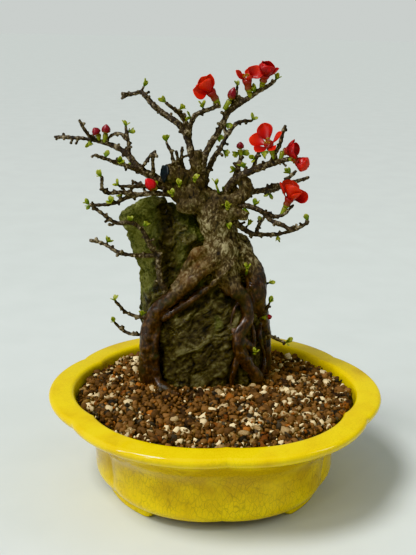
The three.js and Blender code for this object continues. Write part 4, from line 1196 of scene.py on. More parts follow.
@dataclass
class TreeBase:
    """Old trunk, its crown of stubs and knuckles, and the roots that grip the rock."""

    rock: Rock
    limbs: tuple[Limb, ...] = (
        Limb(((7, 3, 113), (5, 5, 120), (3, 6, 127), (2.5, 8, 136), (0.5, 10, 144), (-1.5, 11, 152),
              (-5, 13, 162)), (2, 6.5, 9.6, 10, 9.2, 9.6, 8.5)),
        Limb(((9, 13, 164), (-3, 13, 163), (-14, 14, 167.5), (-24, 14, 170), (-31, 14, 175)),
             (4.6, 7, 7.6, 6, 3.2)),
        Limb(((-7, 12, 166), (-16, 10, 162), (-23, 10, 163)), (6, 5.6, 3.4)),
        Limb(((-8, 15, 171), (-15, 15, 176), (-23, 12, 179), (-29, 9.5, 180)), (5, 5, 4.6, 4.6)),
        Limb(((1, 13, 160), (9, 10, 165), (14, 9, 170.5), (13, 10, 175.5), (7, 13, 176.5)),
             (6, 4.8, 4, 3.4, 2.8)),
        Limb(((4, 10, 158), (11, 7, 158), (16, 5, 157)), (5, 3.6, 3)),
        Limb(((-11, 14, 172), (-12.5, 13, 181), (-15, 12, 188)), (5, 3.6, 2.9)),
        Limb(((-13, 12, 186), (-12, 10, 190.5), (-12.5, 9.5, 193)), (2.2, 2.4, 2.0)),
        Limb(((-38, 9, 63), (-34, 3, 59.2), (-28, -4, 57.6), (-22, -11, 57)), (3.6, 3, 2.4, 1.7)),
    )
    roots: tuple[Root, ...] = (
        Root(Side.FRONT, (6, 5, 4.4, 4, 4, 4.8, 5.3, 5.3, 4.6), (3, 7, 140),
             ((-4, 132), (-10, 128), (-15.5, 122.5), (-21, 117), (-28.5, 110), (-34.5, 101.5), (-38, 91),
              (-39, 79), (-39, 66), (-36, 50))),
        Root(Side.FRONT, (3, 4, 2, 1.7, 3), (-4, 5, 138),
             ((-12, 137), (-16.5, 131.5), (-20.5, 125), (-25, 117))),
        Root(Side.FRONT, (2.4, 1.8, 1.8, 1.9, 2, 2), (9, 2, 135),
             ((-7, 116.5), (-14, 111), (-24, 104), (-31, 99)), over=((3.5, -3.4, 128), (-2, -2.6, 121.5))),
        Root(Side.FRONT, (5.6, 4, 3.7, 3.4, 3.3, 3), (7, 6, 130),
             ((9, 118), (16, 109), (18, 99), (13, 92), (12, 84), (17, 73), (24, 62), (27, 48))),
        Root(Side.FRONT, (2.6, 2.4, 1.9), (12, 0, 90), ((15, 86), (20, 81))),
        Root(Side.FRONT, (1.7, 1.5, 1.2), (12, -1, 79), ((10, 68), (8, 52))),
        Root(Side.FRONT, (7.5, 6.8, 6.2, 4.8, 3.4, 2.4, 2), (8, 11, 137),
             ((16, 130), (21, 120), (23, 106), (28, 92), (31, 76), (31, 50))),
        Root(Side.FRONT, (2.8, 2.2, 1.8), (-37, 10, 66), ((-33, 60), (-28, 52))),
        Root(Side.BACK, (6, 5, 4.6, 4, 3.6, 3.4, 2.8), (3, 14, 148),
             ((9, 124), (6, 108), (0, 90), (6, 70), (5, 48)), over=((7, 25, 144), (9, 36, 139))),
        Root(Side.BACK, (4.6, 4, 3.2, 2.8, 2.4, 2), (8, 16, 142),
             ((20, 120), (20, 102), (24, 84), (22, 64), (25, 48)), over=((17, 26, 135),)),
        Root(Side.BACK, (4.6, 4, 3.4, 2.8, 2.4, 2, 1.8), (-6, 17, 160),
             ((-15, 130), (-22, 108), (-24, 90), (-31, 72), (-29, 50)), over=((-8, 28, 156), (-10, 39, 149))),
    )
    amber_places: tuple[tuple[Point, float], ...] = (
        ((-13, 1, 137), 7), ((-9, 0, 130), 7), ((-17, 0, 122), 6))
    scaly_from: tuple[float, float] = (112, 130)
    # Heights where the crown begins: its lumps grow there and painted shade darkens its bark.
    crown_from: tuple[float, float] = (154, 166)
    plate_size: float = 2.8
    wrinkle_size: float = 2.2
    grit_size: float = 1.4
    strands: tuple[Root, ...] = (
        Root(Side.FRONT, (1.5, 2.2, 2.6, 2.5, 2), (-33, 3, 101),
             ((-33.5, 93), (-35, 82), (-35, 70), (-33, 50))),
        Root(Side.FRONT, (1.2, 1.2, 1, 0.8), (-12, 2, 124), ((-17, 116), (-24, 109), (-30, 105))),
        Root(Side.FRONT, (1.5, 1.3, 1, 0.8), (15, 3, 104),
             ((20, 95), (22, 84), (20, 74), (22, 60), (20, 50))),
        Root(Side.FRONT, (1.3, 1.2, 1, 0.9), (19, 4, 118), ((15, 112), (10, 105), (8, 97), (10, 90))),
        Root(Side.FRONT, (1.4, 1.3, 1.1), (24, 8, 108), ((27, 97), (25, 86), (29, 72), (27, 58))),
    )
    voxel: float = 0.58

    def root_lines(self) -> list[tuple[Array, Array]]:
        """Line and radii of every root and fine strand."""
        return [root.places(self.rock) for root in (*self.roots, *self.strands)]

    def build(self) -> None:
        """Makes the grown-together base with furrowed bark above and wet, knotted roots below."""
        forms = [limb.form() for limb in self.limbs]
        forms += [root.form(self.rock) for root in (*self.roots, *self.strands)]
        skin = fused(joined(forms), self.voxel, 3)
        points, normals = skin.points, skin.normals()
        shoulder = 0.9 * np.clip(points[:, 0] - 12, 0, 20)
        dry = ease(*self.scaly_from, points[:, 2] - shoulder + 5 * noise(points, 12, 5))
        lumps = 0.8 * noise(points, 8, 15) + 0.6 * noise(points, 4.5, 16)
        knots = 0.8 * np.clip(noise(points, 4.2, 14) - 0.2, 0, 1)
        crown = ease(*self.crown_from, points[:, 2])
        bent = points + 1.2 * wandering(points, 4, 17)
        furrow = np.abs(fractal(bent * (1, 1, 0.55), self.plate_size, 3, 25)) ** 0.7
        wrinkle = np.abs(fractal(bent * (1, 1, 0.35), self.wrinkle_size, 3, 45)) ** 0.7
        fine = fractal(points, self.grit_size, 2, 35)
        rough = 1.1 * (furrow - 0.35) + 0.3 * fine
        smooth = 0.35 * (wrinkle - 0.35) + 0.08 * fine + knots
        lumps = lumps * (1 + 0.6 * crown)
        skin.points = points + normals * (lumps + dry * rough + (1 - dry) * smooth)[:, None]
        ridge = dry * (0.1 + 0.95 * furrow + 0.3 * fine) + (1 - dry) * (0.05 + 0.9 * wrinkle + 0.3 * fine)
        # Painted shade: the relief mark is lowered over the crown, so that its bark takes darker colours
        # there.
        ridge = np.clip(ridge * (1 - 0.5 * crown), 0, 1)
        amber = np.zeros(len(points))
        for place, size in self.amber_places:
            gap_to = np.linalg.norm(points - place, axis=1)
            amber = np.maximum(amber, np.exp(-(gap_to / size) ** 2))
        skin.marks = {"ridge": ridge, "wet": 1 - dry, "amber": 0.75 * amber * ease(0.05, 0.4, ridge)}
        piece("trunk_and_roots_bark", skin, (BARK,), ["trunk_and_roots"])


@dataclass
class WoundSeal:
    """Dried paste over the old cut at the end of the upper stub."""

    end: Point = (-29, 9.5, 180)
    outward: Point = (-6, -2.5, 1)
    profile: tuple[tuple[float, float], ...] = (
        (0.6, 4.4), (0.85, 4.75), (1.3, 4.6), (1.75, 3.9), (2.0, 2.6), (2.05, 1.2))

    def build(self) -> None:
        """Makes the uneven cap of paste."""
        side, forward, face = basis(np.array(self.outward), AWAY)
        turn = round_turns(48)[None, :, None]
        ring = side * np.cos(turn) + face * np.sin(turn)
        out, radius = (np.array(column)[:, None, None] for column in zip(*self.profile))
        smear = 1 + 0.1 * np.cos(3 * turn + 0.6) + 0.07 * np.cos(5 * turn + 2)
        form = rings(np.array(self.end) + forward * out + ring * radius * smear)
        uneven = 0.4 * noise(form.points, 2.6, 3) + 0.25 * noise(form.points, 1.2, 4)
        form.points += forward * uneven[:, None]
        if np.einsum("ij,ij->i", form.normals(), form.points - form.points.mean(axis=0)).mean() < 0:
            square = form.faces[:, 3] >= 0
            form.faces[square] = form.faces[square, ::-1]
            form.faces[~square, :3] = form.faces[~square, 2::-1]
        piece("wound_seal_paste", form, (PASTE,), ["wound_seal"])


# Leaves and twigs.
@dataclass
class Tuft:
    """Bunch of young leaves that open like a fan from one place."""

    foot: Array
    axis: Array
    seed: int
    length: float = 4.3
    width: float = 2.7
    leaves: int = 4
    thickness: float = 0.2
    leans: tuple[float, float] = (8.0, 38.0)

    def leaf(self, forward: Array, face: Array, size: float, random: np.random.Generator) -> Form:
        """One fan-shaped leaf.

        Args:
            forward: Direction of its middle vein.
            face: Rough direction that its upper face looks in.
            size: Its size, 1 for a full one.
            random: Source of its small differences.

        Returns:
            The leaf.
        """
        side, forward, face = basis(forward, face)
        part = np.linspace(0, 1, 7)[:, None]
        across = np.linspace(-1, 1, 7)[None, :]
        grown = 0.16 + 0.84 * np.sin(math.pi / 2 * np.minimum(1, part / 0.74)) ** 1.25
        tip = np.sqrt(1 - 0.5 * np.clip((part - 0.74) / 0.26, 0, 1) ** 2)
        half = 0.5 * self.width * size * grown * tip
        teeth = 0.05 * size * self.length * (np.arange(7) % 2)[None, :] * (part > 0.9)
        reach = self.length * size * part * (1 - 0.17 * across ** 2 * part) + teeth
        fold = random.uniform(0.15, 0.45)
        curl = random.uniform(-0.05, 0.3)
        lift = fold * half * np.abs(across) + 0.12 * half * np.cos(3 * math.pi * across) * part
        lift = lift - curl * self.length * size * part ** 2
        grid = (self.foot + forward * reach[..., None] + side * (half * across)[..., None]
                + face * lift[..., None])
        return blade(grid, self.thickness).worn(0, tint=random.uniform(0, 1))

    def form(self) -> Form:
        """All the leaves of the tuft."""
        random = np.random.default_rng(self.seed)
        side, forward, face = basis(self.axis, AWAY)
        start = random.uniform(0, 2 * math.pi)
        made = []
        for number in range(self.leaves):
            turn = start + number * GOLDEN_TURN + random.uniform(-0.3, 0.3)
            lean = math.radians(random.uniform(*self.leans))
            size = random.uniform(0.7, 1.12)
            outward = side * math.cos(turn) + face * math.sin(turn)
            ahead = forward * math.cos(lean) + outward * math.sin(lean)
            made.append(self.leaf(ahead, -outward, size, random))
        return joined(made)


@dataclass
class Stem:
    """Twig through places in millimetres, with radii spread along it."""

    path: tuple[Point, ...]
    radii: tuple[float, ...]
    step: float = 0.5

    def places(self) -> Array:
        """Evenly spaced places along the stem."""
        return smooth_curve(self.path, self.step)

    def wood(self, random: np.random.Generator) -> list[Form]:
        """The stem with its wandering line, swollen nodes and short spurs.

        Args:
            random: Source of its small differences.

        Returns:
            Closed forms that overlap.
        """
        path = self.places()
        count = len(path)
        seed = int(random.integers(1, 9999))
        inside = np.minimum(1, np.minimum(np.arange(count), np.arange(count)[::-1]) / 8)[:, None]
        path = path + 0.45 * wandering(path, 6, seed) * inside
        radii = spread_values(self.radii, count) * (0.96 + 0.07 * noise(path, 2.5, seed + 5))
        forms = []
        length = self.step * count
        across, up = axes_along(path)
        place = random.uniform(1.5, 3.5)
        while place < length - 1:
            index = min(count - 1, int(place / self.step))
            radii = radii + 0.26 * np.exp(-((np.arange(count) - index) * self.step / 0.7) ** 2)
            if random.uniform() < 0.7:
                turn = random.uniform(0, 2 * math.pi)
                outward = across[index] * math.cos(turn) + up[index] * math.sin(turn)
                ahead = unit(np.gradient(path, axis=0))[index]
                direction = unit(outward + ahead * random.uniform(0.1, 0.7))
                reach = radii[index] + random.uniform(0.4, 1) + 2 * random.uniform() ** 2
                thickness = min(0.85, 0.8 * radii[index])
                forms.append(self.spur(path[index], direction, reach, thickness, random))
            place += random.uniform(1.9, 4)
        forms.append(tube(path, radii, 12))
        return forms

    @staticmethod
    def spur(foot: Array, direction: Array, reach: float, radius: float, random: np.random.Generator) -> Form:
        """Short stub that ends in a blunt bud."""
        bend = 0.25 * reach * unit(random.normal(size=3))
        path = smooth_curve([tuple(foot), tuple(foot + 0.55 * reach * direction + bend),
                             tuple(foot + reach * direction)], 0.35)
        share = np.linspace(0, 1, len(path))
        swell = radius * (1 - 0.35 * share + 0.35 * np.exp(-((share - 0.85) / 0.12) ** 2))
        return tube(path, swell, 8)


def bark_on_twigs(forms: Sequence[Form], voxel: float) -> Form:
    """Grows stems and spurs together and wrinkles their bark."""
    skin = fused(joined(forms), voxel, 1)
    points = skin.points
    wrinkle = fractal(points, 1.5, 2, 77)
    lump = noise(points, 3.5, 78)
    skin.points = points + skin.normals() * (0.2 * wrinkle + 0.2 * lump)[:, None]
    skin.marks = {"ridge": np.clip(0.5 + 0.6 * wrinkle + 0.2 * lump, 0, 1)}
    return skin


@dataclass
class Branch:
    """Leafy branch: stems, tufts by where their tips are seen from the front, and stalks of flowers."""

    name: str
    stems: tuple[Stem, ...]
    tufts: tuple[tuple[float, float], ...]
    flowers: tuple[tuple[Point, Point], ...] = ()
    leaf_reach: float = 5.2
    voxel: float = 0.4
    spur_radii: tuple[float, ...] = (0.85, 0.8, 0.7, 0.68, 0.78, 0.6)
    stalk_radii: tuple[float, ...] = (0.9, 1.0, 1.15, 1.3, 1.45, 1.4)

    def foot_of(self, x: float, z: float) -> Array:
        """The place on the stems nearest to where a tuft is seen."""
        places = np.concatenate([stem.places() for stem in self.stems])
        return places[np.argmin(np.hypot(places[:, 0] - x, places[:, 2] - z))]

    def build(self, number: int) -> None:
        """Makes the branch's wood and its leaves.

        Args:
            number: Place in the list of branches, which seeds its small differences.
        """
        random = np.random.default_rng(SEED + number)
        wood = [form for stem in self.stems for form in stem.wood(random)]
        leaves = []
        for index, (x, z) in enumerate(self.tufts):
            foot = self.foot_of(x, z)
            tip = np.array([x, foot[1] + (-1.2 if index % 2 == 0 else 1.2), z])
            axis = unit(tip - foot)
            reach = np.linalg.norm(tip - foot)
            start = foot + axis * max(0.6, reach - 0.62 * self.leaf_reach)
            spur = np.linspace(foot, start + 0.4 * axis, len(self.spur_radii))
            wood.append(tube(spur, np.array(self.spur_radii), 8))
            leaves.append(Tuft(start, axis, SEED + 40 * number + index, leaves=3 + index % 3).form())
        for foot, cup in self.flowers:
            path = np.linspace(foot, cup, len(self.stalk_radii))
            stalk = tube(path, np.array(self.stalk_radii), 16)
            leaves.append(stalk.worn(1, along=0.15 * stalk.marks["along"]))
        node = [self.name]
        piece(f"{self.name}_bark", bark_on_twigs(wood, self.voxel), (TWIG,), node)
        if leaves:
            piece(f"{self.name}_leaves", joined(leaves), (LEAF, CALYX), node)


@dataclass
class TrunkTuft:
    """Tuft that springs straight from old wood."""

    name: str
    foot: Point
    tip: Point

    def build(self, number: int) -> None:
        """Makes the tuft and its short green shoot."""
        foot, tip = np.array(self.foot, float), np.array(self.tip, float)
        axis = unit(0.5 * unit(tip - foot) + np.array([0, 0, 0.9]))
        start = tip - 3.1 * axis
        path = smooth_curve([tuple(foot), tuple(start), tuple(start + 0.4 * axis)], 0.6)
        shoot = tube(path, np.linspace(0.75, 0.55, len(path)), 10).worn(0, tint=0.2)
        leaves = Tuft(start, axis, TUFT_SEED + number, leans=(8, 30)).form()
        piece(f"{self.name}_leaves", joined([shoot, leaves]), (LEAF,), [self.name])


# Flowers.
@dataclass(frozen=True)
class Petal:
    """How one petal stands: its turn and spread in degrees, size, breadth, how far it closes again, and how
    many degrees its blade is twisted about its middle line.

    A turn of 0 is at the viewer's left, 90 at the back, 180 at the right and 270 in front.
    """

    turn: float
    spread: float
    size: float = 1.0
    breadth: float = 0.75
    close: float = 0.0
    twist: float = 0.0


@dataclass
class Bloom:
    """Open flower: its cup, middle, petal length and petals."""

    name: str
    cup: Point
    middle: Point
    length: float
    petals: tuple[Petal, ...]
    deep: bool = False
    claw: float = 0.16

    def petal_form(self, axes: tuple[Array, Array, Array], base: Array, petal: Petal,
                   random: np.random.Generator) -> Form:
        """One spoon-shaped petal with a narrow claw.

        Args:
            axes: Side, axis and face directions of the flower.
            base: Middle of the flower's mouth.
            petal: How it stands.
            random: Source of its small differences.

        Returns:
            The petal.
        """
        side, axis, face = axes
        turn = math.radians(petal.turn)
        outward = side * math.cos(turn) + face * math.sin(turn)
        around = -side * math.sin(turn) + face * math.cos(turn)
        tip = 0.8 + 0.2 * np.sin(np.linspace(0, math.pi / 2, 7))
        part = np.concatenate([np.linspace(0, 0.8, 11)[:-1], tip])[:, None]
        across = np.linspace(-1, 1, 11)[None, :]
        length = self.length * petal.size
        lean = math.radians(petal.spread) * (1.1 - (0.45 + petal.close) * part)
        step = length * np.diff(part, axis=0, prepend=0)
        radius = 1.3 + np.cumsum(step * np.sin(lean), axis=0)
        height = np.cumsum(step * np.cos(lean), axis=0)
        blade_part = np.clip((part - self.claw) / (1 - self.claw), 0, 1)
        full = np.sin(math.pi * blade_part ** 1.35) ** 0.55
        half = 0.5 * petal.breadth * length * np.maximum(0.24 * (1 - part ** 3), full)
        half = np.maximum(half, 0.04 * length)
        bend = 0.9
        sideways = half * np.sin(bend * across) / bend
        hollow = half * (1 - np.cos(bend * across)) / bend
        ruffle = random.uniform(0.01, 0.03) * length
        hollow = hollow + ruffle * np.sin(3 * across + random.uniform(0, 6)) * part
        inward = -outward * np.cos(lean)[..., None] + axis * np.sin(lean)[..., None]
        twist = math.radians(petal.twist) * ease(0.05, 0.45, part)[..., None]
        cross = around * np.cos(twist) + inward * np.sin(twist)
        inward = inward * np.cos(twist) - around * np.sin(twist)
        grid = (base + outward * radius[..., None] + axis * height[..., None]
                + cross * sideways[..., None] + inward * hollow[..., None])
        return blade(grid, 0.28).worn(0, tint=random.uniform(0, 1))

    def stamens(self, axes: tuple[Array, Array, Array], base: Array,
                random: np.random.Generator) -> list[Form]:
        """Filaments with their anthers, standing in the flower's throat.

        Args:
            axes: Side, axis and face directions of the flower.
            base: Middle of the flower's mouth.
            random: Source of their small differences.

        Returns:
            The filaments and anthers.
        """
        side, axis, face = axes
        made = []
        grain = ball(1)
        for number in range(16):
            turn = GOLDEN_TURN * number
            lean = math.radians(4 + 1.2 * number)
            outward = side * math.cos(turn) + face * math.sin(turn)
            direction = axis * math.cos(lean) + outward * math.sin(lean)
            length = self.length * random.uniform(0.3, 0.45)
            foot = base + outward * 0.45 - axis * 1.0
            path = np.linspace(foot, foot + direction * (length + 1.0), 4)
            made.append(tube(path, np.full(4, 0.11), 5).worn(1))
            tip = grain.points * (0.3, 0.3, 0.4) + path[-1]
            made.append(Form(tip, grain.faces).worn(2))
        return made

    def build(self, number: int) -> None:
        """Makes the petals, stamens and fleshy calyx.

        Args:
            number: Place in the list of blooms, which seeds its small differences.
        """
        random = np.random.default_rng(BLOOM_SEED + number)
        cup, middle = np.array(self.cup, float), np.array(self.middle, float)
        axes = basis(middle - cup, AWAY)
        axis = axes[1]
        tube_length = max(2.0, np.linalg.norm(middle - cup) - 0.45 * self.length)
        base = cup + axis * (0.45 + tube_length)
        forms = [self.petal_form(axes, base, petal, random) for petal in self.petals]
        forms += self.stamens(axes, base, random)
        path = np.linspace(cup + 0.4 * axis, base + 0.7 * axis, 14)
        share = np.linspace(0, 1, 14)
        radii = 1.5 + 0.6 * np.exp(-((share - 0.28) / 0.2) ** 2) + 1.1 * ease(0.35, 0.9, share)
        forms.append(tube(path, radii, 20).worn(3))
        finishes = (PETAL_DEEP if self.deep else PETAL, FILAMENT, ANTHER, CALYX)
        piece(f"{self.name}_flower", joined(forms), finishes, [self.name])


@dataclass
class Bud:
    """Closed bud: its cup, tip and radius, bright or dark."""

    name: str
    cup: Point
    tip: Point
    radius: float
    bright: bool = True
    rows: int = 22
    columns: int = 40

    def outline(self, share: Array) -> Array:
        """Radius at each share of the length, over the largest one."""
        return np.sin(math.pi * share ** 0.75) ** 0.72

    def build(self) -> None:
        """Makes the wrapped petals and the calyx that holds them."""
        cup, tip = np.array(self.cup, float), np.array(self.tip, float)
        side, axis, face = basis(tip - cup, AWAY)
        length = np.linalg.norm(tip - cup) - 0.45
        base = cup + 0.45 * axis
        share = np.linspace(0.02, 0.985, self.rows)[:, None]
        turn = round_turns(self.columns)[None, :]
        wrap = (turn * 5 / (2 * math.pi) + 1.3 * share) % 1
        radius = self.radius * self.outline(share) * (0.94 + 0.1 * wrap)
        ring = side * np.cos(turn)[..., None] + face * np.sin(turn)[..., None]
        petals = rings(base + axis * (length * share)[..., None] + ring * radius[..., None])
        along = np.concatenate([np.repeat(share[:, 0], self.columns), [0, 1]])
        wrapped = np.concatenate([np.tile(wrap[0], self.rows), [0, 0]])
        petals.worn(0, along=0.35 + 0.5 * along, across=wrapped, tint=0.4)
        sepal = np.linspace(0, 0.3, 8)[:, None]
        lobes = 1 + 0.18 * np.cos(5 * turn)
        holder = self.outline(sepal) * self.radius * 1.07
        points = base + axis * (length * sepal * lobes)[..., None] + ring * np.maximum(0.9, holder)[..., None]
        calyx = rings(points)
        calyx.worn(1, along=np.concatenate([np.repeat(sepal[:, 0] * 1.6, self.columns), [0, 0.6]]))
        finishes = (BUD_BRIGHT if self.bright else BUD_DARK, CALYX)
        piece(f"{self.name}_petals", joined([petals, calyx]), finishes, [self.name])


# Soil.
class Grain(Enum):
    """Kinds of grain in the mix, with the share of each."""

    PUMICE = 0.2
    CLAY = 0.6
    RUST = 0.06
    LAVA = 0.13


@dataclass
class SoilBed:
    """Mound of mixed grains in the pot, over a body of fines. Each layer of grains has a depth, a spacing
    and its least and largest radius."""

    pot: Pot
    rock: Rock
    edge_height: float = 54.0
    crown: float = 4.2
    reach: float = 78.6
    lift: float = 0.5
    layers: tuple[tuple[float, float, float, float], ...] = (
        (0.0, 3.5, 1.3, 3.4), (1.1, 3.0, 1.2, 2.3), (-0.8, 3.6, 0.6, 1.4))
    chip_shapes: int = 20

    def height(self, x: Array, y: Array) -> Array:
        """Height of the mound at plan places."""
        spread = np.hypot(x, y / self.pot.depth_ratio) / 80
        return self.edge_height + self.crown * np.clip(1 - spread ** 2, 0, 1)

    def inside(self, x: Array, y: Array, margin: float) -> Array:
        """Whether plan places lie in the pot's mouth, off the wall by a margin."""
        angle = np.arctan2(y / self.pot.depth_ratio, x)
        reach = (self.reach - margin) * self.pot.lobe_factor(angle, np.full_like(angle, self.edge_height))
        return np.hypot(x, y / self.pot.depth_ratio) < reach

    def bed(self) -> Form:
        """The body of fines: crumbly on top, and down the pot's inside to its floor."""
        radii = np.linspace(6, 78, 52)
        top = self.pot.turned(np.stack([radii, np.full(len(radii), self.edge_height)], axis=-1))
        x, y = top[..., 0], top[..., 1]
        top[..., 2] = self.height(x, y) - 1.3 + 0.7 * fractal(top, 4, 3, 82)
        wall = [(radius - 0.6, height) for radius, height in self.pot.inside if 20 < height < 53]
        wall = [(79.0, 53.0), *wall, (59.0, 9.9), (30.0, 9.9), (8.0, 9.9)]
        sides = self.pot.turned(np.array(wall))
        grid = np.concatenate([top, sides])[::-1]
        return rings(grid).worn(0, tint=0.3)

    def places(self, random: np.random.Generator) -> tuple[Array, Array, Array]:
        """Where grains lie and how large they are.

        Args:
            random: Source of their places and sizes.

        Returns:
            Their plan places, heights and radii.
        """
        layers = []
        for depth, spacing, low, high in self.layers:
            rows = np.arange(-80, 80, spacing * 0.87)
            x, y = np.meshgrid(np.arange(-84, 84, spacing), rows)
            x = x + (np.arange(len(rows)) % 2)[:, None] * spacing / 2
            x, y = (value.ravel() + random.uniform(-0.42, 0.42, value.size) * spacing for value in (x, y))
            radius = low + (high - low) * random.uniform(0, 1, x.size) ** 1.7
            keep = self.inside(x, y, 1.0) & ~self.rock.holds(x, y, 57, -1.0)
            x, y, radius = x[keep], y[keep], radius[keep]
            z = self.height(x, y) + self.lift - depth - 0.4 * radius + random.uniform(-0.4, 0.4, x.size)
            layers.append(np.stack([x, y, z, radius], axis=-1))
        every = np.concatenate(layers)
        return every[:, :2], every[:, 2], every[:, 3]

    def kinds(self, plan: Array, radii: Array, random: np.random.Generator) -> Array:
        """The kind of each grain, with more clay by the rock and more pumice at the front and right."""
        spots = np.concatenate([plan, np.zeros((len(plan), 1))], axis=1)
        patch = noise(spots, 22, 95)
        near = np.exp(-(np.hypot(plan[:, 0] + 30, plan[:, 1] + 22) / 26) ** 2)
        near = np.maximum(near, 0.7 * np.exp(-(np.hypot(plan[:, 0] - 45, plan[:, 1] - 20) / 22) ** 2))
        shares = np.tile([kind.value for kind in Grain], (len(plan), 1))
        shares[:, 0] *= np.clip(1.15 + 0.5 * patch - 1.0 * near, 0.12, 2)
        shares[:, 0] *= np.where(radii > 1.7, 2.2, 0.45)
        shares[:, 1] *= 1 + 0.9 * near
        bounds = np.cumsum(shares / shares.sum(axis=1, keepdims=True), axis=1)
        return (random.uniform(0, 1, len(plan))[:, None] > bounds).sum(axis=1).clip(0, 3)

    def chips(self, corners: int, random: np.random.Generator) -> list[Form]:
        """Broken chips of radius 1, each with its own corners and flat faces."""
        made = []
        for _ in range(self.chip_shapes):
            shape = bmesh.new()
            for corner in unit(random.normal(size=(corners, 3))):
                shape.verts.new(tuple(corner))
            bmesh.ops.convex_hull(shape, input=shape.verts)
            bmesh.ops.recalc_face_normals(shape, faces=shape.faces)
            made.append(closed_form(shape))
        return made

    @staticmethod
    def strewn(chips: Sequence[Form], places: Array, radii: Array, random: np.random.Generator) -> list[Form]:
        """Chips turned and stretched at random, one at each place.

        Args:
            chips: Forms that the grains are picked from.
            places: Middle of each grain.
            radii: Radius of each grain.
            random: Source of the choice and the turns.

        Returns:
            One form for each kind of chip.
        """
        turns = np.linalg.qr(random.normal(size=(len(places), 3, 3)))[0]
        turns[:, :, 0] *= np.linalg.det(turns)[:, None]
        stretch = random.uniform(0.65, 1.3, (len(places), 1, 3)) * radii[:, None, None]
        tint = random.uniform(0, 1, len(places))
        picked = random.integers(0, len(chips), len(places))
        made = []
        for number, chip in enumerate(chips):
            here = picked == number
            count, size = int(here.sum()), len(chip.points)
            if not count:
                continue
            body = np.einsum("gvx,gyx->gvy", chip.points[None] * stretch[here], turns[here])
            faces = chip.faces[None] + (np.arange(count) * size)[:, None, None]
            faces = np.where(chip.faces[None] < 0, -1, faces)
            points = (places[here][:, None] + body).reshape(-1, 3)
            made.append(Form(points, faces.reshape(-1, 4), marks={"tint": np.repeat(tint[here], size)}))
        return made

    def build(self) -> None:
        """Makes the fines and every grain that lies on them."""
        random = np.random.default_rng(SEED)
        piece("soil_bed_fines", self.bed(), (FINES,), ["soil_bed"])
        plan, heights, radii = self.places(random)
        kinds = self.kinds(plan, radii, random)
        places = np.concatenate([plan, heights[:, None]], axis=1)
        for index, (kind, finish) in enumerate(zip(Grain, (PUMICE, CLAY, RUST, LAVA))):
            chosen = kinds == index
            chips = self.chips(18 if kind is Grain.CLAY else 12, random)
            forms = self.strewn(chips, places[chosen], radii[chosen], random)
            piece(f"soil_grains_{kind.name.lower()}", joined(forms), (finish,), ["soil_bed"],
                  faceted=True)


@dataclass
class DrainScreens:
    """Moulded plastic meshes over the drain holes, kept from the frame."""

    nodes: tuple[str, ...] = ("drain_screen_left", "drain_screen_right")

    def dress(self, frame: Mapping[str, Any]) -> None:
        """Gives the screens their finish."""
        for name in self.nodes:
            for socket in frame["nodes"][name].material_slots:
                socket.material = MESH_PLASTIC.material()
            LOG.info("%s dressed", name)


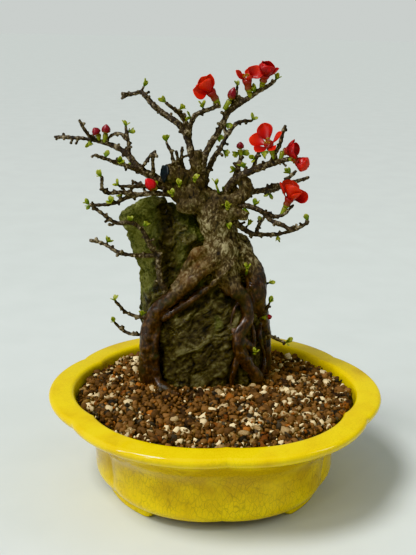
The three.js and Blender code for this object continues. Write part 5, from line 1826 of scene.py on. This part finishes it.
BRANCHES = (
    Branch("branch_top_left", (
        Stem(((-12, 13, 180), (-15, 13, 190), (-17, 15, 197), (-22, 18, 205), (-34, 23, 213),
             (-41.5, 26, 220.5)), (2.6, 2.2, 1.8, 1.7, 1.7, 1.3)),
        Stem(((-40, 25, 219), (-43, 27, 221.5), (-46.5, 28, 220), (-50, 29, 219.3), (-53.6, 30, 220.4)),
             (1.3, 1.2, 1, 0.8)),
        Stem(((-50, 29, 219.3), (-52, 29.5, 218.4), (-53.6, 30, 217.2)), (0.8, 0.8)),
        Stem(((-17, 16, 201), (-20, 15, 209), (-25, 12, 214), (-29, 10, 217)), (1.5, 1.2, 0.8)),
        Stem(((-17, 15, 198), (-16, 11, 206), (-14, 10, 211), (-6, 6, 215), (-1, 4, 217)),
             (1.8, 1.4, 1.1, 1)),
        Stem(((-22, 12.5, 180), (-25.4, 11.5, 187), (-26.4, 11, 191), (-28.9, 11, 196)), (1.3, 0.9, 0.8)),
        Stem(((-21.5, 13, 181), (-22.7, 12, 187), (-23.8, 11, 192)), (1.1, 0.8)),
        Stem(((-19, 14, 180), (-21, 13, 188), (-20.3, 12, 194)), (1.1, 0.8))),
        tufts=((-40, 227), (-31, 219), (-20, 216), (-17, 210), (-11, 218), (-29.4, 199.4)),
        flowers=(((-1.5, 4, 217), (-2.6, 3.8, 218.8)), ((1, 5, 215), (4, 4.6, 219.5)))),
    Branch("branch_top_right", (
        Stem(((-10, 13, 179), (-8, 11, 190), (-4, 10, 198), (0, 9, 205), (4, 7, 214), (13, 5, 220),
             (19, 3, 225), (27, 2, 230)), (2.6, 2, 1.7, 1.6, 1.6, 1.4, 1.2, 0.9)),
        Stem(((13, 5, 219), (9, 5, 221), (6, 6, 220)), (1.1, 0.8)),
        Stem(((4, 7, 213), (7, 7, 219), (8, 8, 226)), (1.2, 0.9, 0.7))),
        tufts=((8, 229), (29, 233), (5, 206), (-1, 200), (16, 226)),
        flowers=(((15, 4, 221), (14, 3, 224)), ((20, 2.8, 226), (20.6, 2.2, 228.6)))),
    Branch("branch_back_right", (
        Stem(((-9, 15, 173), (-3, 19, 187), (1, 21, 192), (5, 24, 199), (9, 26, 204), (14, 28, 206),
             (19, 30, 206)), (2, 1.6, 1.4, 1.3, 1.2, 0.8)),
        Stem(((5, 24, 198), (3, 26, 205), (4, 28, 211)), (1.1, 0.8))),
        tufts=((20, 208), (5, 189), (4, 213))),
    Branch("branch_right_upper", (
        Stem(((4, 12, 165), (6, 11, 174), (12, 8, 179.5), (20, 3, 184), (26, -1, 187), (31, -6, 190),
             (35, -8, 191)), (2.3, 2.2, 2.1, 1.9, 1.8, 1.5, 1.2)),
        Stem(((26, -1, 186), (29, -1, 194), (31, -2, 200), (33, -3, 208)), (1.3, 1.1, 0.8)),
        Stem(((17, 5, 182), (20, 9, 189), (22, 10, 193)), (1.2, 0.8))),
        tufts=((18, 189), (12, 186), (24, 191)),
        flowers=(((28, -1.5, 190), (26, -2.5, 195)), ((30.5, -5.5, 190), (31.6, -6.6, 194.6)),
                 ((34.6, -8, 191), (37, -8.6, 191.2)))),
    Branch("twig_crown_right", (
        Stem(((8, 14, 166), (9, 14, 176), (11, 14, 184), (12, 15, 188), (11.5, 16, 191)),
             (1.7, 1.5, 1.3, 1.2, 0.9)),),
        tufts=((7, 182), (14, 190), (9, 190)),
        flowers=(((12, 15, 188), (11.5, 16, 192)),)),
    Branch("branch_right_middle", (
        Stem(((8, 12, 168), (19, 15, 169), (26, 18, 169), (32, 20, 171), (38, 22, 171), (45, 24, 173),
             (53, 28, 175)), (2.2, 1.7, 1.6, 1.5, 1.2, 0.8)),
        Stem(((37, 21, 171), (40, 24, 175), (45, 26, 179)), (1.1, 0.8)),
        Stem(((26, 18, 169), (31, 26, 167), (38, 33, 168)), (1.3, 0.8))),
        tufts=((10, 166), (41, 178), (40, 166), (30, 165))),
    Branch("branch_right_front", (
        Stem(((6, 10, 162), (14, 7, 163), (20, 4, 162), (24, 2, 160), (28, 0, 156), (34, -2, 154),
             (39, -4, 152), (47, -8, 157)), (2, 1.6, 1.5, 1.3, 1.2, 0.9)),
        Stem(((23, 3, 160.5), (31, 2, 158), (36, 1, 160), (40, 0, 165)), (1.2, 1.1, 0.8))),
        tufts=((2, 165), (20, 166), (14, 159), (46, 160)),
        flowers=(((33.6, 1.5, 159), (35.6, 0.8, 163.2)),)),
    Branch("branch_right_low", (
        Stem(((7, 9, 155), (15, 11, 148), (21, 14, 145), (29, 16, 144), (37, 19, 144), (45, 22, 145)),
             (1.9, 1.5, 1.3, 1.1, 0.8)),
        Stem(((22, 14, 145), (25, 24, 148), (29, 31, 152)), (1.1, 0.8))),
        tufts=((18, 153), (26, 149), (35, 141))),
    Branch("branch_left_long", (
        Stem(((-27, 14, 172), (-35, 15, 176), (-44, 18, 181), (-49, 20, 187), (-53, 21, 190), (-66, 24, 195),
             (-80, 27, 196), (-91, 30, 196)), (2.7, 2.3, 2, 1.7, 1.4, 1.2, 1.1, 0.8)),
        Stem(((-66, 23.5, 195), (-71, 21, 198), (-76, 18, 207)), (1.1, 0.8)),
        Stem(((-49, 20, 186), (-50, 21, 197), (-51, 22, 202)), (1.2, 0.9)),
        Stem(((-41, 17, 179), (-50, 12, 183), (-57, 7, 186), (-67, 0, 191)), (1.6, 1.3, 1, 0.8)),
        Stem(((-36, 15, 177), (-36, 12, 187), (-35, 10, 191)), (1.1, 0.8)),
        Stem(((-43, 17, 181), (-40.8, 14, 183.6), (-38.6, 12, 187.8), (-34.6, 10.5, 192)), (1, 0.8)),
        Stem(((-63, 23, 194.5), (-58.5, 21.5, 198.5), (-54, 21, 199.4), (-50.5, 20.5, 196)), (0.9, 0.8)),
        Stem(((-44, 18, 181), (-50, 30, 180), (-57, 38, 183)), (1.3, 0.9))),
        tufts=((-51, 206), (-47, 201), (-71, 193), (-61, 190), (-54, 186), (-49, 180)),
        flowers=(((-34, 14.6, 175), (-35.2, 8.4, 171.2)), ((-66, 24, 195), (-66, 21.5, 198.5)),
                 ((-63, 23, 194), (-62, 21.5, 199)))),
    Branch("branch_left_middle", (
        Stem(((-26, 12, 170), (-34, 10, 172), (-43, 7, 173), (-54, 2, 174)), (1.5, 1.2, 0.8)),
        Stem(((-42, 7.5, 173), (-48, 9, 176)), (0.9, 0.8))),
        tufts=((-56, 176),)),
    Branch("branch_left_low", (
        Stem(((-24, 11, 168), (-38, 8, 169), (-44, 5, 169), (-53, 1, 171), (-62, -3, 172), (-63, -6, 180)),
             (1.7, 1.4, 1.2, 1, 0.8)),
        Stem(((-43, 5.5, 169), (-51, 4, 167), (-58, 4, 164), (-70, 4, 163)), (1.2, 1, 0.8))),
        tufts=((-64, 182), (-54, 168), (-59, 166), (-72, 165))),
    Branch("branch_back", (
        Stem(((-4, 17, 166), (-6, 28, 166), (-10, 40, 164), (-13, 53, 165)), (2.2, 1.7, 1.3, 0.9)),
        Stem(((-6, 27, 166), (3, 38, 163), (9, 47, 164)), (1.4, 0.9)),
        Stem(((-8, 34, 165), (-18, 44, 166)), (1.1, 0.8))),
        tufts=((-13, 168), (10, 167), (-20, 168))),
    Branch("sucker_left", (
        Stem(((-26, 3, 110), (-29, 0, 115), (-32, 0, 121), (-33, 0, 127), (-33, 0, 133), (-32, 0, 138)),
             (2, 1.8, 1.7, 1.5, 1.3)),
        Stem(((-33, 0.5, 135), (-38, -1, 143), (-42, -3, 151), (-47, -3, 155), (-56, -5, 156), (-64, -8, 162),
             (-69, -10, 167)), (1.5, 1.3, 1.1, 1, 0.8)),
        Stem(((-33, 0.5, 136), (-42, 1, 136), (-48, 1, 136), (-57, 3, 138), (-63, 5, 141), (-71, 6, 143)),
             (1.4, 1.1, 1, 0.8))),
        tufts=((-48, 159), (-39, 155), (-60, 145), (-70, 165))),
    Branch("shoot_left_upper", (
        Stem(((-36, 8, 96), (-45, 7, 98), (-51, 6, 101), (-57, 4, 108)), (1, 0.9, 0.8)),),
        tufts=((-58, 111), (-42, 101))),
    Branch("shoot_left_lower", (
        Stem(((-37, 9, 85), (-45, 10, 86), (-52, 12, 87), (-58, 13, 92)), (1, 0.9, 0.8)),),
        tufts=((-59, 95),)),
    Branch("shoot_right_upper", (
        Stem(((22, 13, 116), (27, 11, 116), (29, 10, 117)), (0.9, 0.8)),),
        tufts=((31, 118),)),
    Branch("shoot_right_middle", (
        Stem(((22, 13, 94), (27, 9, 98), (30, 8, 105)), (1.1, 0.8)),),
        tufts=((31, 108), (26, 104)),
        flowers=(((26, 9.5, 97), (29, 8, 97)),)),
    Branch("shoot_right_lower", (
        Stem(((25, 14, 87), (33, 12, 84), (41, 11, 80)), (1, 0.8)),),
        tufts=((42, 81),)),
)

TRUNK_TUFTS = (
    TrunkTuft("tuft_crown_1", (0.5, 11, 168), (-2, 8, 176.5)),
    TrunkTuft("tuft_crown_2", (-14, 11, 176), (-13.5, 5, 179)),
    TrunkTuft("tuft_crown_3", (-22, 10, 173), (-22, 4, 176.5)),
    TrunkTuft("tuft_crown_4", (-25, 10.4, 168), (-26, 4.6, 171)),
    TrunkTuft("tuft_crown_5", (4, 8, 161), (4.5, 2, 164.5)),
    TrunkTuft("tuft_crown_6", (2, 18, 166), (4, 24, 169)),
    TrunkTuft("tuft_neck", (4.5, 4.8, 153), (5.5, -1, 154.5)),
    TrunkTuft("tuft_root", (16, 5.6, 124), (15.8, -0.5, 131)),
    TrunkTuft("tuft_crevice", (21, 3.1, 76.5), (22, -3.5, 82)),
)
BLOOMS = (
    Bloom("bloom_1", (-2.6, 3.8, 218.8), (-8, 1.6, 226.6), 8.8, (
        Petal(350, 56, 1.06, 1.12, 0.3, 60), Petal(30, 44, 0.9, 0.95, 0.3, 20),
        Petal(90, 22, 1.0, 1.05, 0.2), Petal(165, 32, 1.0, 0.85, 0.2, -25),
        Petal(270, 20, 0.98, 1.05, 0.2))),
    Bloom("bloom_2", (14, 3, 224), (11.8, 1.4, 233), 7.8, (
        Petal(0, 40, 0.95, 0.62, 0.3, 42), Petal(180, 60, 1.12, 1.12, 0.4, -72), Petal(130, 50, 0.8, 0.9, 0.4),
        Petal(250, 74, 0.6, 0.9, 0.5), Petal(60, 46, 0.5, 0.8, 0.5))),
    Bloom("bloom_3", (20.6, 2.2, 228.6), (22, 0.2, 235), 6.9, (
        Petal(20, 48, 1.12, 1.25, 0.95), Petal(100, 34, 1.12, 1.2, 0.9), Petal(180, 58, 1.1, 0.75, 0.35),
        Petal(255, 54, 1.14, 1.35, 1.05), Petal(310, 50, 1.12, 1.25, 1.05)), deep=True),
    Bloom("bloom_4", (26, -2.5, 195), (23, -6.5, 200.5), 9, (
        Petal(338, 80, 0.95, 0.95, 0.1), Petal(44, 78, 1.12, 1.0, 0.05), Petal(104, 70, 1.26, 0.86, 0.05),
        Petal(187, 66, 1.0, 0.5), Petal(262, 95, 0.55, 1.1)), claw=0.13),
    Bloom("bloom_5", (31.6, -6.6, 194.6), (35.2, -8.2, 195.4), 6.4, (
        Petal(0, 66, 1.05, 1.05, 0.4), Petal(90, 60, 1.1, 1.1, 0.4), Petal(165, 78, 1.15, 1.1, 0.3),
        Petal(235, 62, 1.05, 1.15, 0.5), Petal(305, 60, 1.05, 1.15, 0.5)), deep=True),
    Bloom("bloom_6", (37, -8.6, 191.2), (40.3, -9.8, 189.6), 6, tuple(
        Petal(20 + 72 * count, 68, 1.36, 1.15, 1.6) for count in range(5))),
    Bloom("bloom_7", (35.6, 0.8, 163.2), (38.6, 0, 171), 8.8, (
        Petal(0, 58, 1.15, 0.6, 0.1), Petal(72, 40, 1.18, 1.1, 0.3, 25), Petal(178, 62, 1.08, 1.1, 0.4, -50),
        Petal(285, 34, 1.1, 1.2, 0.4), Petal(235, 58, 0.95, 1.15, 0.5, -20))),
)
BUDS = (
    Bud("bud_top", (4, 4.6, 219.5), (6.2, 4, 226.6), 2.2, bright=False),
    Bud("bud_left_bright", (-35.2, 8.4, 171.2), (-40.2, 5.2, 177.6), 2.9),
    Bud("bud_left_dark_1", (-66, 21.5, 198.5), (-68.5, 20, 202.5), 2.3, bright=False),
    Bud("bud_left_dark_2", (-62, 21.5, 199), (-61.5, 20.5, 204.5), 2.4, bright=False),
    Bud("bud_crown_right", (11.5, 16, 192), (11.5, 15.5, 196.5), 2.1, bright=False),
    Bud("bud_shoot_right", (29, 8, 97), (32, 7, 98), 1.5, bright=False),
)


@dataclass
class Studio:
    """Pale floor, soft lights and the camera where the photographer stood."""

    camera_place: Point = (-36.95, -439.79, 260.7)
    pitch: float = 17.28
    yaw: float = -4.05
    roll: float = 1.21
    lens: float = 54.1
    floor_radius: float = 12.0
    ceiling_from: Point = (-0.5, -0.32, 1.0)
    ceiling_spread: float = 18.0
    ceiling_power: float = 2.5
    wall_colour: str = "#d2d7d4"
    wall_light: float = 0.6
    wall_seen: float = 0.97
    soft_boxes: tuple[tuple[str, Point, Point, tuple[float, float], float], ...] = (
        ("soft_box_left", (-0.95, -0.5, 0.55), (0, 0, 0.08), (0.07, 0.9), 2.8),
        ("soft_box_front", (-0.72, -0.85, 0.6), (0, 0, 0.08), (0.05, 0.9), 1.8),
        ("soft_box_right", (1.0, -0.35, 0.7), (0, 0, 0.12), (0.3, 0.6), 2))

    def camera(self) -> None:
        """Makes the camera: looking down by the pitch, turned by the yaw, tilted by the roll."""
        pitch, yaw, roll = (math.radians(value) for value in (self.pitch, self.yaw, self.roll))
        level = Vector((-math.sin(yaw), math.cos(yaw), 0))
        ahead = math.cos(pitch) * level - math.sin(pitch) * Vector((0, 0, 1))
        right = Vector((math.cos(yaw), math.sin(yaw), 0))
        up = math.sin(pitch) * level + math.cos(pitch) * Vector((0, 0, 1))
        tilted_right = math.cos(roll) * right + math.sin(roll) * up
        tilted_up = math.cos(roll) * up - math.sin(roll) * right
        turn = Matrix((tilted_right, tilted_up, -ahead)).transposed().to_4x4()
        data = bpy.data.cameras.new("photographer")
        data.lens = self.lens
        data.sensor_fit = "VERTICAL"
        data.sensor_height = 36
        data.clip_start = 0.01
        made = placed("photographer", data)
        made.matrix_world = Matrix.Translation(Vector(self.camera_place) * MM) @ turn
        bpy.context.scene.camera = made

    def floor(self) -> None:
        """Makes the plain floor as one wide disc."""
        count, shares = 64, (0.02, 0.1, 0.4, 1)
        turn = round_turns(count)
        edge = np.stack([np.cos(turn), np.sin(turn), 0 * turn], axis=-1) * self.floor_radius / MM
        grid = np.stack([edge * share for share in shares])
        faces = grid_faces(len(shares), count, True)
        ring = np.arange(count)
        middle = np.full(count, len(shares) * count)
        centre = np.stack([ring, (ring + 1) % count, middle, np.full(count, -1)], axis=-1)
        points = np.concatenate([grid.reshape(-1, 3), [[0, 0, 0]]])
        made = placed("floor", Form(points, np.concatenate([faces[:, ::-1], centre])).mesh("floor"))
        made.data.materials.append(STUDIO_FLOOR.material())

    def light(self, name: str, place: Point, aim: Point, size: tuple[float, float], power: float) -> None:
        """Makes one soft box.

        Args:
            name: Name of the light.
            place: Where it stands, in metres.
            aim: What it points at, in metres.
            size: Its width and height in metres.
            power: Its power in watts.
        """
        data = bpy.data.lights.new(name, "AREA")
        data.shape = "RECTANGLE"
        data.size, data.size_y = size
        self.hang(data, place, aim, power)

    def ceiling(self) -> None:
        """Makes the wide, even light that falls from the ceiling, so that the floor is equally pale."""
        data = bpy.data.lights.new("ceiling_light", "SUN")
        data.angle = math.radians(self.ceiling_spread)
        self.hang(data, self.ceiling_from, (0, 0, 0), self.ceiling_power)

    @staticmethod
    def hang(data: bpy.types.Light, place: Point, aim: Point, power: float) -> None:
        """Places a light and points it at its aim."""
        data.energy = power
        made = placed(data.name, data)
        made.location = place
        made.rotation_euler = (Vector(aim) - Vector(place)).to_track_quat("-Z", "Y").to_euler()

    def room(self) -> bpy.types.World:
        """Pale walls all round. They look as light as the floor and light the plant a little less."""
        world = bpy.data.worlds.new("pale_room")
        world.use_nodes = True
        tree = world.node_tree
        walls = linear(self.wall_colour)
        lit, seen = (add_node(tree, "Background", {"Color": walls, "Strength": strength})
                     for strength in (self.wall_light, self.wall_seen))
        eye = add_node(tree, "LightPath", out="Is Camera Ray")
        both = add_node(tree, "MixShader", links={0: eye, 1: lit, 2: seen})
        set_node(tree, tree.nodes["World Output"], links={"Surface": both})
        return world

    def build(self) -> None:
        """Makes the floor, the lights and the pale surroundings."""
        self.camera()
        self.floor()
        self.ceiling()
        for box in self.soft_boxes:
            self.light(*box)
        bpy.context.scene.world = self.room()
        bpy.context.scene.view_settings.view_transform = "Khronos PBR Neutral"


def main() -> None:
    """Builds the studio, the pot and the plant."""
    logging.basicConfig(level=logging.INFO, format="%(name)s: %(message)s")
    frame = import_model()
    Studio().build()
    pot, rock = Pot(), Rock()
    pot.build()
    DrainScreens().dress(frame)
    base = TreeBase(rock)
    rock.build(base.root_lines())
    base.build()
    SoilBed(pot, rock).build()
    WoundSeal().build()
    for number, branch in enumerate(BRANCHES):
        branch.build(number)
    for number, tuft in enumerate(TRUNK_TUFTS):
        tuft.build(number)
    for number, bloom in enumerate(BLOOMS):
        bloom.build(number)
    for bud in BUDS:
        bud.build()
    LOG.info("sizes written")


if __name__ == "__main__":
    main()
